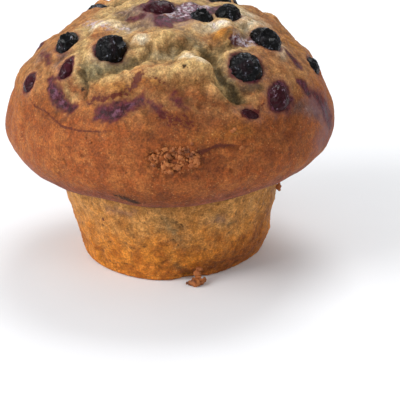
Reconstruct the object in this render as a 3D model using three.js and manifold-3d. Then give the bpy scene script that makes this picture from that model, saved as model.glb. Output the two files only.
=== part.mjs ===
// A berry muffin without its paper case: one baked cake with a wide mushroom top over a tapered stump,
// and the berries that break through its crust. Millimetres, +Z up. The muffin stands on its foot at z = 0
// with the middle of its outline at x = y = 0, and its front faces -Y.
import * as THREE from "three";
import { mergeVertices } from "three/addons/utils/BufferGeometryUtils.js";
import Module from "manifold-3d";

const wasm = await Module();
wasm.setup();

// ---- Driving dimensions ----

const CAP_RADIUS = 49; // the overhanging top at its widest
const CROWN_HEIGHT = 77; // the dome's crown, before its lumps
const WIDEST_HEIGHT = 40.6; // where the cap is widest
const LIP_RADIUS = 38; // where the rounded lip turns in under the cap
const LIP_HEIGHT = 30;
const LIP_FULLNESS = 0.48; // how square the lip's round is: 0.55 would be a quarter circle's
const NECK_RADIUS = 33.4; // the stump at the cup's mouth, where it meets the lip in a crease
const NECK_HEIGHT = 28.3;
const FOOT_RADIUS = 28.2; // the stump at the cup's floor
const FOOT_EDGE = 1.0; // rounding of the foot's edge
const FOOT_SHIFT = 1.2; // how far the foot stands to +X of the cap
const CAP_TILT = 0.015; // the cap's rise per millimetre towards +X

const CAKE_DETAIL = 17; // subdivisions of the icosahedron that the cake's surface starts from
const FLOOR_DENSITY = 0.3; // share of the cake's triangles that each stretch gets for its area
const FOOT_EDGE_DENSITY = 5;
const STUMP_DENSITY = 0.7;
const DOME_DENSITY = 1.4;
const PROFILE_STEPS = 600;
const SEAM_TOLERANCE = 1e-4; // points of the unit sphere nearer than this are one
const SOCKET_GAP = 0.3; // clearance between a berry and its socket in the cake

const DOME_HEIGHT = CROWN_HEIGHT - WIDEST_HEIGHT;
const SHIFT_TOP = WIDEST_HEIGHT; // height at which the foot's shift has died away
const TILT_LOW = 5; // the tilt grows from here ...
const TILT_HIGH = 30; // ... to here

const CRUST = { color: 0xa8683c, roughness: 0.75, metalness: 0 };
const BERRY_SKIN = { color: 0x24202c, roughness: 0.4, metalness: 0 };
const BURST_SKIN = { color: 0x4a2028, roughness: 0.45, metalness: 0 };

// ---- Places on the dome ----

const { clamp, degToRad: radians, mapLinear, smoothstep } = THREE.MathUtils;

// The point of the smooth dome at an azimuth from the front, positive to the right, and an angle from the
// crown about the middle of the cap. Both are in degrees.
function onDome(azimuth, fromCrown) {
  const turn = radians(azimuth);
  const slope = Math.atan((Math.tan(radians(fromCrown)) * DOME_HEIGHT) / CAP_RADIUS);
  const reach = CAP_RADIUS * Math.sin(slope);
  const height = WIDEST_HEIGHT + DOME_HEIGHT * Math.cos(slope);
  return new THREE.Vector3(reach * Math.sin(turn), -reach * Math.cos(turn), height);
}

// The smooth dome's outward direction at one of its points.
function domeNormal(point) {
  const across = CAP_RADIUS ** 2;
  const up = DOME_HEIGHT ** 2;
  return new THREE.Vector3(point.x / across, point.y / across, (point.z - WIDEST_HEIGHT) / up).normalize();
}

// ---- Relief of the crust ----

// Where the rising batter tore the crust open: paths of [azimuth, angle from crown], half width and depth.
const CRACKS = [
  { path: [[-43, 67], [-40, 58], [-29, 53], [-14, 46], [4, 43], [22, 46]], width: 4.2, depth: 1.4 },
  { path: [[22, 46], [26, 52], [23, 59], [29, 66]], width: 2.5, depth: 2.8 },
  { path: [[22, 47], [34, 46], [46, 44], [60, 39]], width: 2.2, depth: 2.2 },
  { path: [[-26, 50], [-36, 32], [-60, 24]], width: 2.6, depth: 0.9 },
  { path: [[-60, 24], [-100, 26], [-138, 33]], width: 2.8, depth: 1.8 },
  { path: [[122, 47], [134, 52], [148, 60], [160, 70]], width: 3.2, depth: 3.0 },
  { path: [[-138, 33], [-165, 30], [160, 34], [132, 50]], width: 3.0, depth: 2.6 },
  { path: [[-138, 33], [-128, 48], [-118, 58]], width: 3.2, depth: 2.6 },
];

// The raised, ragged edges of the torn crust.
const RIDGES = [
  { path: [[-36, 67], [-31, 60], [-21, 55], [-11, 52], [-1, 54]], width: 2.8, height: 0.6 },
  { path: [[-1, 54], [6, 52], [15, 52], [20, 57], [18, 64]], width: 2.6, height: 1.2 },
  { path: [[34, 60], [30, 52], [36, 46], [52, 43], [70, 42]], width: 2.6, height: 1.2 },
  { path: [[122, 55], [133, 58], [143, 65]], width: 2.6, height: 1.8 },
  { path: [[-138, 41], [-145, 52], [-141, 60]], width: 2.6, height: 1.2 },
];

// Round lumps of batter, with a crease round each: azimuth, angle from crown, radius and height.
const LUMPS = [
  [-8, 36, 4.0, 2.0],
  [3, 35, 4.4, 2.1],
  [41, 40, 5.2, 3.0],
  [47, 32, 3.6, 2.2],
  [-20, 38, 2.6, 1.7],
  [-19, 44, 2.8, 1.0],
  [-10, 43, 2.2, 0.6],
  [13, 50, 6.6, 2.5],
  [8, 46, 2.8, 1.1],
  [19, 62, 2.4, 1.4],
  [11, 62, 3.2, 1.0],
  [79, 51, 3.4, 1.1],
  [152, 44, 5.0, 2.4],
  [141, 41, 3.4, 2.0],
  [-141, 37, 3.6, 2.2],
  [-160, 34, 4.4, 2.4],
  [-146, 55, 3.4, 1.8],
];

// Broad mounds, which rise without a crease: azimuth, angle from crown, reach and height.
const MOUNDS = [
  [-53, 20, 7.5, 1.2],
  [112, 46, 5.0, 0.9],
  [38, 6, 6.5, 1.6],
  [-8, 60, 4.0, 1.2],
  [52, 55, 12.0, 1.6],
  [-52, 52, 10.0, 0.8],
  [160, 22, 6.0, 2.6],
  [-160, 16, 5.5, 2.2],
  [-150, 60, 7.0, 1.6],
  [176, 50, 8.0, 2.0],
];

// The crumbly pit in the front of the cap, with the width and height of the crumbs in it.
const PIT = {
  azimuth: 1,
  fromCrown: 85,
  halfWidth: 7.5,
  halfHeight: 4.0,
  depth: 1.0,
  crumb: 2.1,
  rough: 1.2,
};

// Where the body departs from a turned one: azimuth and height, half width and half height, and how far out
// and up it moves there.
const SWELLS = [
  [0, 29, 24, 9, 0, -2.0],
  [-48, 29, 12, 9, 0, -0.7],
  [-88, 23, 6, 6, 1.3, 0],
  [52, 0, 18, 4.2, -2.9, 0],
  [-75, 2, 16, 9, -0.7, 0],
  [10, 0, 4, 3.5, -2.2, 0],
  [90, 16, 12, 12, -0.6, 0],
  [-15, 0.5, 9, 9, 0.6, 0],
  [96, 62, 11, 11, -1.9, 0],
  [-104, 66, 10, 10, -1.3, 0],
];

// The unevenness all over: the width of its bumps, and how high they are in each zone.
const CRAGS = { size: 9, onCap: 0.5, onTop: 0.9 };
const CRUMB = { size: 4.2, onCap: 0.2, inTears: 0.45 };
const STUMP_WAVES = { size: 6.5, height: 0.5 };
const TORN_REACH = 9; // how far a tear roughens the crust beside it
const CAP_ZONE = [NECK_HEIGHT, 34]; // the cap's own relief fades in between these heights ...
const TOP_ZONE = [44.6, 56.6]; // ... and the torn top's between these
const SEGMENTS_PER_STRETCH = 3; // a path's straight pieces between two of its points

// Odd numbers that mix bits well, and how many of the mixed bits make one slope of the noise.
const SCATTER = [0x27d4eb2d, 0x165667b1, 0x9e3779b1, 0x85ebca6b, 0xc2b2ae35];
const SLOPE_BITS = 10;
const SLOPE_STEPS = 2 ** SLOPE_BITS - 1;
const NOISE_GAIN = 1.6; // brings the noise's peaks to about 1

// The slope at one corner of the noise's grid: three numbers from -1 to 1, always the same for that corner.
function cornerSlope(x, y, z) {
  let mix = Math.imul(x, SCATTER[0]) ^ Math.imul(y, SCATTER[1]) ^ Math.imul(z, SCATTER[2]);
  mix = Math.imul(mix ^ (mix >>> 15), SCATTER[3]);
  mix = Math.imul(mix ^ (mix >>> 13), SCATTER[4]);
  mix ^= mix >>> 16;
  return [0, 1, 2].map((i) => (2 * ((mix >>> (i * SLOPE_BITS)) & SLOPE_STEPS)) / SLOPE_STEPS - 1);
}

// Smooth noise, mostly between -1 and 1, whose bumps are about as wide as the given size.
function noiseAt(point, size) {
  const place = [point.x / size, point.y / size, point.z / size];
  const corner = place.map(Math.floor);
  const within = place.map((value, i) => value - corner[i]);
  const fade = within.map((t) => t * t * t * (t * (6 * t - 15) + 10));
  let sum = 0;
  for (let i = 0; i < 8; i++) {
    const step = [i & 1, (i >> 1) & 1, (i >> 2) & 1];
    const slope = cornerSlope(corner[0] + step[0], corner[1] + step[1], corner[2] + step[2]);
    const height = slope.reduce((total, value, j) => total + value * (within[j] - step[j]), 0);
    const share = step.reduce((product, side, j) => product * (side ? fade[j] : 1 - fade[j]), 1);
    sum += share * height;
  }
  return NOISE_GAIN * sum;
}

// A path over the smooth dome, rounded through its points, as short segments.
function segmentsOf(path) {
  const curve = new THREE.CatmullRomCurve3(path.map((place) => onDome(...place)), false, "catmullrom");
  const points = curve.getPoints((path.length - 1) * SEGMENTS_PER_STRETCH);
  return points.slice(1).map((end, i) => new THREE.Line3(points[i], end));
}

const crackLines = CRACKS.map((crack) => ({ ...crack, segments: segmentsOf(crack.path) }));
const ridgeLines = RIDGES.map((ridge) => ({ ...ridge, segments: segmentsOf(ridge.path) }));
const placed = ([azimuth, fromCrown, reach, height]) => {
  return { centre: onDome(azimuth, fromCrown), reach, height };
};
const lumpPlaces = LUMPS.map(placed);
const moundPlaces = MOUNDS.map(placed);
const pitCentre = onDome(PIT.azimuth, PIT.fromCrown);

function distanceTo(segments, point) {
  const nearest = new THREE.Vector3();
  return Math.min(
    ...segments.map((segment) => segment.closestPointToPoint(point, true, nearest).distanceTo(point)),
  );
}

// Shares from 1 at the middle of a feature down to nothing: bell fades softly, knob ends in a crease.
const bell = (distance, reach) => Math.exp(-((distance / reach) ** 2));
const knob = (distance, reach) => Math.max(0, 1 - (distance / reach) ** 2);

// How far the surface stands out from the smooth body at one of its points.
function relief(point) {
  const onCap = smoothstep(point.z, ...CAP_ZONE);
  const onTop = smoothstep(point.z, ...TOP_ZONE);
  const offFloor = smoothstep(point.z, 0, 2 * FOOT_EDGE);
  let out = 0;
  let nearestTear = Infinity;
  for (const crack of crackLines) {
    const distance = distanceTo(crack.segments, point);
    nearestTear = Math.min(nearestTear, distance);
    out -= crack.depth * bell(distance, crack.width);
  }
  for (const ridge of ridgeLines) {
    out += ridge.height * bell(distanceTo(ridge.segments, point), ridge.width);
  }
  for (const lump of lumpPlaces) {
    out += lump.height * knob(lump.centre.distanceTo(point), lump.reach);
  }
  for (const mound of moundPlaces) {
    out += mound.height * bell(mound.centre.distanceTo(point), mound.reach);
  }
  const torn = 1 - smoothstep(nearestTear, 0, TORN_REACH);
  out += noiseAt(point, CRAGS.size) * (CRAGS.onCap * onCap + CRAGS.onTop * onTop);
  out += noiseAt(point, CRUMB.size) * (CRUMB.onCap * onCap + CRUMB.inTears * torn * onTop);
  out += noiseAt(point, STUMP_WAVES.size) * STUMP_WAVES.height * (1 - onCap);
  const pitAcross = (point.x - pitCentre.x) / PIT.halfWidth;
  const pitUp = (point.z - pitCentre.z) / PIT.halfHeight;
  const inPit = point.y < 0 ? bell(Math.hypot(pitAcross, pitUp), 1) : 0;
  out += inPit * (noiseAt(point, PIT.crumb) * PIT.rough - PIT.depth);
  return out * offFloor;
}

// How far out and up the swells move a point.
function swellAt(point) {
  const fromAxis = Math.hypot(point.x, point.y);
  const offAxis = smoothstep(fromAxis, 0, FOOT_RADIUS / 2);
  const offFloor = smoothstep(point.z, 0, TILT_LOW);
  let out = 0;
  let up = 0;
  for (const [azimuth, height, halfWidth, halfHeight, outward, upward] of SWELLS) {
    const turn = radians(azimuth);
    const aside = Math.hypot(point.x - fromAxis * Math.sin(turn), point.y + fromAxis * Math.cos(turn));
    const share = bell(Math.hypot(aside / halfWidth, (point.z - height) / halfHeight), 1);
    out += share * outward * offAxis;
    up += share * upward * offFloor;
  }
  return { out, up };
}

// Leans the turned body: the foot stands a little to +X of the cap, and the cap rises towards +X.
function lean(point) {
  const swell = swellAt(point);
  const wider = 1 + swell.out / (Math.hypot(point.x, point.y) || 1);
  const rise = CAP_TILT * clamp((point.z - TILT_LOW) / (TILT_HIGH - TILT_LOW), 0, 1);
  const shift = FOOT_SHIFT * clamp(1 - point.z / SHIFT_TOP, 0, 1);
  return new THREE.Vector3(point.x * wider + shift, point.y * wider, point.z + swell.up + rise * point.x);
}

// ---- The cake's surface ----

// The turned half outline, from the middle of the foot up to the crown, as evenly spaced points.
function halfOutline() {
  const path = new THREE.Path();
  path.moveTo(0, 0);
  path.lineTo(FOOT_RADIUS - FOOT_EDGE, 0);
  path.absarc(FOOT_RADIUS - FOOT_EDGE, FOOT_EDGE, FOOT_EDGE, -Math.PI / 2, 0);
  path.lineTo(NECK_RADIUS, NECK_HEIGHT);
  path.lineTo(LIP_RADIUS, LIP_HEIGHT);
  const lipAcross = LIP_FULLNESS * (CAP_RADIUS - LIP_RADIUS);
  const lipUp = LIP_FULLNESS * (WIDEST_HEIGHT - LIP_HEIGHT);
  path.bezierCurveTo(
    LIP_RADIUS + lipAcross,
    LIP_HEIGHT,
    CAP_RADIUS,
    WIDEST_HEIGHT - lipUp,
    CAP_RADIUS,
    WIDEST_HEIGHT,
  );
  path.absellipse(0, WIDEST_HEIGHT, CAP_RADIUS, DOME_HEIGHT, 0, Math.PI / 2);
  return path.getSpacedPoints(PROFILE_STEPS);
}

// How finely each height of the cake is faceted. The dome, which has the crags, takes the most triangles.
function densityAt(height) {
  if (height === 0) {
    return FLOOR_DENSITY;
  }
  if (height < FOOT_EDGE) {
    return FOOT_EDGE_DENSITY;
  }
  if (height < LIP_HEIGHT) {
    return STUMP_DENSITY;
  }
  return mapLinear(Math.min(height, WIDEST_HEIGHT), LIP_HEIGHT, WIDEST_HEIGHT, 1, DOME_DENSITY);
}

// Share of the cake's triangles that lie below each point of its half outline.
function triangleShares(outline) {
  const shares = [0];
  for (let i = 1; i < outline.length; i++) {
    const step = outline[i].distanceTo(outline[i - 1]);
    const band = (step * (outline[i].x + outline[i - 1].x)) / 2;
    shares.push(shares[i - 1] + band * densityAt(outline[i].y));
  }
  const whole = shares.at(-1);
  return shares.map((share) => share / whole);
}

// The smooth body's point and outward direction for a point of the unit sphere. The sphere's area is spread
// over the body by the shares.
function bodyPoint(direction, outline, shares) {
  const share = (1 + direction.z) / 2;
  const found = shares.findIndex((value) => value >= share);
  const i = Math.max(1, found < 0 ? shares.length - 1 : found);
  const between = clamp((share - shares[i - 1]) / (shares[i] - shares[i - 1] || 1), 0, 1);
  const spot = outline[i - 1].clone().lerp(outline[i], between);
  const along = outline[i].clone().sub(outline[i - 1]).normalize();
  const flat = Math.hypot(direction.x, direction.y) || 1;
  const cos = direction.x / flat;
  const sin = direction.y / flat;
  return {
    point: new THREE.Vector3(spot.x * cos, spot.x * sin, spot.y),
    normal: new THREE.Vector3(along.y * cos, along.y * sin, -along.x),
  };
}

// An icosahedron's subdivided sphere with only its positions, shared between faces.
function seamlessBall(detail) {
  const ball = new THREE.IcosahedronGeometry(1, detail);
  ball.deleteAttribute("normal");
  ball.deleteAttribute("uv");
  return mergeVertices(ball, SEAM_TOLERANCE);
}

// Moves every vertex of a geometry to where a function sends it.
function reshape(geometry, place) {
  const positions = geometry.getAttribute("position");
  const vertex = new THREE.Vector3();
  for (let i = 0; i < positions.count; i++) {
    const moved = place(vertex.fromBufferAttribute(positions, i).clone());
    positions.setXYZ(i, moved.x, moved.y, moved.z);
  }
  return geometry;
}

function cakeSurface() {
  const outline = halfOutline();
  const shares = triangleShares(outline);
  return reshape(seamlessBall(CAKE_DETAIL), (direction) => {
    const { point, normal } = bodyPoint(direction.normalize(), outline, shares);
    return lean(point.clone().addScaledVector(normal, relief(point)));
  });
}

// ---- Berries ----

// Berries that break through the crust. Each has its azimuth and angle from the crown, its half length and
// half width along the crust, half thickness, how deep its middle is sunk, and its turn about its upright.
const BERRIES = [
  { at: [-35, 44.5], half: [4.7, 4.6, 4.5], sunk: 0.7, turn: 35 },
  { at: [-68, 49], half: [4.4, 3.5, 3.8], sunk: 0.9, turn: 60 },
  { at: [-127, 44.5], half: [4.2, 4.0, 4.0], sunk: 0.3, turn: 10 },
  { at: [41, 22.3], half: [3.7, 3.5, 3.3], sunk: 0.9, turn: 0 },
  { at: [67.5, 29], half: [4.0, 3.9, 4.2], sunk: 0.6, turn: 40 },
  { at: [61, 48.3], half: [5.1, 4.6, 4.3], sunk: 0.8, turn: -25 },
  { at: [36.3, 55.8], half: [5.3, 5.0, 4.8], sunk: 1.0, turn: -10 },
  { at: [84, 67.8], half: [4.4, 3.2, 3.2], sunk: 1.4, turn: 80 },
  { at: [118, 26], half: [4.0, 3.6, 3.4], sunk: 1.2, turn: 15 },
  { at: [150, 52], half: [4.8, 4.3, 3.9], sunk: 1.3, turn: 20 },
  { at: [-165, 38], half: [4.4, 4.0, 3.6], sunk: 1.1, turn: 70 },
  { at: [-124, 79], half: [4.6, 4.0, 3.7], sunk: 1.2, turn: -30 },
  { at: [126, 76], half: [4.3, 3.8, 3.4], sunk: 1.3, turn: 45 },
  { at: [-150, 66], half: [5.0, 4.4, 4.0], sunk: 1.5, turn: 0 },
  { at: [172, 24], half: [3.9, 3.5, 3.3], sunk: 1.0, turn: 50 },
];

// Berries that burst in the oven and lie nearly flush with the crust.
const BURST_BERRIES = [
  { at: [-22, 13], half: [4.8, 3.6, 2.8], sunk: 1.0, turn: 15 },
  { at: [44.5, 69], half: [5.0, 4.0, 3.0], sunk: 1.2, turn: 70 },
  { at: [-68, 68.5], half: [3.5, 2.9, 2.1], sunk: 0.8, turn: 80 },
  { at: [-51, 57.7], half: [3.8, 2.1, 1.9], sunk: 0.7, turn: 50 },
  { at: [30.5, 71.8], half: [3.9, 1.6, 1.5], sunk: 0.7, turn: 5 },
  { at: [174, 70], half: [3.6, 2.6, 2.2], sunk: 1.1, turn: 20 },
];

const WHOLE_DETAIL = 2; // subdivisions of the icosahedron that a berry starts from
const BURST_DETAIL = 1;
const WRINKLE_SIZE = 2.6; // wavelength of a shrivelled skin's folds
const WRINKLE_DEPTH = 0.07; // depth of the folds as a share of the berry's radius

// A shrivelled berry in place, as a geometry. grow widens it, for its socket.
function berryGeometry({ at, half, sunk, turn }, detail, grow) {
  const spot = onDome(...at);
  const out = domeNormal(spot);
  const centre = spot.clone().addScaledVector(out, relief(spot) - sunk);
  const upright = new THREE.Quaternion().setFromUnitVectors(new THREE.Vector3(0, 0, 1), out);
  const about = new THREE.Quaternion().setFromAxisAngle(new THREE.Vector3(0, 0, 1), radians(turn));
  const [length, width, thickness] = half;
  return reshape(seamlessBall(detail), (direction) => {
    const skin = new THREE.Vector3(direction.x * length, direction.y * width, direction.z * thickness);
    skin.multiplyScalar(1 + WRINKLE_DEPTH * noiseAt(skin.clone().add(spot), WRINKLE_SIZE));
    skin.addScaledVector(direction.normalize(), grow);
    return lean(skin.applyQuaternion(about).applyQuaternion(upright).add(centre));
  });
}

// ---- Joining and cutting ----

function toSolid(geometry) {
  return new wasm.Manifold(
    new wasm.Mesh({
      numProp: 3,
      vertProperties: new Float32Array(geometry.getAttribute("position").array),
      triVerts: new Uint32Array(geometry.index.array),
    }),
  );
}

function toGeometry(solid) {
  const mesh = solid.getMesh();
  const geometry = new THREE.BufferGeometry();
  geometry.setAttribute("position", new THREE.BufferAttribute(mesh.vertProperties, 3));
  geometry.setIndex(new THREE.BufferAttribute(mesh.triVerts, 1));
  geometry.computeVertexNormals();
  return geometry;
}

function namedMesh(name, geometry, look) {
  const mesh = new THREE.Mesh(geometry, new THREE.MeshStandardMaterial(look));
  mesh.name = name;
  return mesh;
}

// ---- Assembly ----

const muffin = new THREE.Group();
let cake = toSolid(cakeSurface());

function addBerries(prefix, berries, detail, look) {
  berries.forEach((berry, i) => {
    const geometry = berryGeometry(berry, detail, 0);
    geometry.computeVertexNormals();
    muffin.add(namedMesh(`${prefix}_${String(i + 1).padStart(2, "0")}`, geometry, look));
    cake = cake.subtract(toSolid(berryGeometry(berry, detail, SOCKET_GAP)));
  });
}

addBerries("berry", BERRIES, WHOLE_DETAIL, BERRY_SKIN);
addBerries("burst_berry", BURST_BERRIES, BURST_DETAIL, BURST_SKIN);
muffin.add(namedMesh("cake", toGeometry(cake), CRUST));

// The frame's origin is under the middle of the whole outline.
const bounds = new THREE.Box3().setFromObject(muffin);
const middle = bounds.getCenter(new THREE.Vector3());
muffin.children.forEach((mesh) => mesh.position.set(-middle.x, -middle.y, -bounds.min.z));

export default muffin;
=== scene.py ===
"""Looks of a berry muffin: the baked cake, the berries in its crust, its loose crumbs, and a plain studio.

Sizes are in millimetres until a mesh is made. Meshes are in metres, in the part's own frame.
"""
import logging
import math
from collections.abc import Sequence
from dataclasses import dataclass
from enum import Enum

import bpy
import numpy as np
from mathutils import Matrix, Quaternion, Vector


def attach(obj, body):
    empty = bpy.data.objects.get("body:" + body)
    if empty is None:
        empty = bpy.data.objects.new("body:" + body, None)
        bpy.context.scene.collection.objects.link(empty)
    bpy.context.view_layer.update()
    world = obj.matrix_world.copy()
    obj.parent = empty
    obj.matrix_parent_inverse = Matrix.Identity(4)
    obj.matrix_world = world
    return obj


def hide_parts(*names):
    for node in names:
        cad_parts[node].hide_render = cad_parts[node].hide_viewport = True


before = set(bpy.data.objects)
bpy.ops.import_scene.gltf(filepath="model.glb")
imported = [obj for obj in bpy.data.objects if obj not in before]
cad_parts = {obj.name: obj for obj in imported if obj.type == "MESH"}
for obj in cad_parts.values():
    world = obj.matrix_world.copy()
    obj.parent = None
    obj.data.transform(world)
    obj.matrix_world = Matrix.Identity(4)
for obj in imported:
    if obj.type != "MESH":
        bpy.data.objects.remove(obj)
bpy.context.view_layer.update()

logging.basicConfig(level=logging.INFO, format="%(message)s")
log = logging.getLogger("muffin")

MM = 0.001
OFF_AXIS = np.array((-0.013, -0.321, 0.0))  # the dome's axis, seen from the part's origin
ARC_POINTS = 160  # in each curve of the cake's outline
OUTLINE_POINTS = 1201  # in the whole outline, evenly spaced

Place = tuple[float, float]  # azimuth from the front and angle from the crown, in degrees
Triple = tuple[float, float, float]


# ---- Shares and noise ----


def smoothstep(values: np.ndarray, low: float, high: float) -> np.ndarray:
    """Soft step from 0 at low to 1 at high."""
    t = np.clip((values - low) / (high - low), 0.0, 1.0)
    return t * t * (3.0 - 2.0 * t)


def bell(distance: np.ndarray, reach: float) -> np.ndarray:
    """Share that is 1 at a feature's middle and fades softly."""
    return np.exp(-((distance / reach) ** 2))


def knob(distance: np.ndarray, reach: float | np.ndarray) -> np.ndarray:
    """Share that is 1 at a feature's middle and ends in a crease."""
    return np.maximum(0.0, 1.0 - (distance / reach) ** 2)


def length_of(vectors: np.ndarray) -> np.ndarray:
    """Length of each vector."""
    return np.sqrt((vectors * vectors).sum(axis=-1))


class Waves:
    """Noise that is the same at every run."""

    SCATTER = tuple(np.uint32(n) for n in (0x27D4EB2D, 0x165667B1, 0x9E3779B1, 0x85EBCA6B, 0xC2B2AE35))
    SLOPE_BITS = 10
    SLOPE_STEPS = 2**SLOPE_BITS - 1
    GAIN = 1.6
    JITTER = 0.45

    @classmethod
    def _mixed(cls, corner: np.ndarray) -> np.ndarray:
        """Mixed bits for each corner of the noise's grid.

        Args:
            corner: Whole numbers, three to a corner.

        Returns:
            One 32-bit number for each corner.
        """
        x, y, z = (corner[:, i].astype(np.int64).astype(np.uint32) for i in range(3))
        mix = (x * cls.SCATTER[0]) ^ (y * cls.SCATTER[1]) ^ (z * cls.SCATTER[2])
        mix = (mix ^ (mix >> np.uint32(15))) * cls.SCATTER[3]
        mix = (mix ^ (mix >> np.uint32(13))) * cls.SCATTER[4]
        return mix ^ (mix >> np.uint32(16))

    @classmethod
    def _triples(cls, corner: np.ndarray) -> np.ndarray:
        """Three numbers from -1 to 1 for each corner of the grid."""
        mix = cls._mixed(corner)
        parts = [(mix >> np.uint32(i * cls.SLOPE_BITS)) & np.uint32(cls.SLOPE_STEPS) for i in range(3)]
        return np.stack(parts, axis=1).astype(float) * 2.0 / cls.SLOPE_STEPS - 1.0

    @classmethod
    def at(cls, points: np.ndarray, size: float, shift: float = 0.0) -> np.ndarray:
        """Smooth noise, mostly between -1 and 1.

        Args:
            points: Where to read it.
            size: About how wide its bumps are.
            shift: Moves the pattern, so that two of one size differ.

        Returns:
            One value for each point.
        """
        place = points / size + shift
        corner = np.floor(place)
        within = place - corner
        fade = within**3 * (within * (6.0 * within - 15.0) + 10.0)
        total = np.zeros(len(points))
        for i in range(8):
            step = np.array((i & 1, (i >> 1) & 1, (i >> 2) & 1), float)
            slope = cls._triples(corner + step)
            share = np.prod(np.where(step > 0, fade, 1.0 - fade), axis=1)
            total += share * (slope * (within - step)).sum(axis=1)
        return cls.GAIN * total

    @classmethod
    def drift(cls, points: np.ndarray, size: float, shift: float = 0.0) -> np.ndarray:
        """Smooth noise in all three directions, which moves points about."""
        return np.stack([cls.at(points, size, shift + 11.0 * i) for i in range(3)], axis=1)

    @classmethod
    def curds(cls, points: np.ndarray, size: float, shift: float = 0.0) -> np.ndarray:
        """Rounded lumps with sharp creases between them, from 0 in a crease to about 1."""
        return np.abs(cls.at(points, size, shift)) * 2.0

    @classmethod
    def pits(cls, points: np.ndarray, size: float, shift: float = 0.0) -> tuple[np.ndarray, np.ndarray]:
        """Scattered spots, one to each cell of a grid.

        Args:
            points: Where to read them.
            size: The cells' width.
            shift: Moves the grid.

        Returns:
            The distance to the nearest spot, and that spot's own number from 0 to 1.
        """
        place = points / size + shift
        corner = np.floor(place)
        nearest = np.full(len(points), np.inf)
        own = np.zeros(len(points))
        for i in range(27):
            cell = corner + np.array((i % 3 - 1, (i // 3) % 3 - 1, i // 9 - 1), float)
            jitter = cls._triples(cell)
            away = length_of(cell + 0.5 + cls.JITTER * jitter - place) * size
            closer = away < nearest
            nearest = np.where(closer, away, nearest)
            own = np.where(closer, (jitter[:, 0] * 7.3 + jitter[:, 1] * 3.1) % 1.0, own)
        return nearest, own


# ---- The cake's form ----


@dataclass(frozen=True)
class Track:
    """A path over the crust, with how far it reaches to each side and how strong it is."""

    path: tuple[Place, ...]
    reach: float
    amount: float


@dataclass(frozen=True)
class Spot:
    """A round place on the crust, with its radius and how strong it is."""

    at: Place
    reach: float
    amount: float


@dataclass(frozen=True)
class Swell:
    """Where the body departs from a turned one: how far out and up it moves there."""

    azimuth: float
    height: float
    half_width: float
    half_height: float
    outward: float
    upward: float


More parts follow.
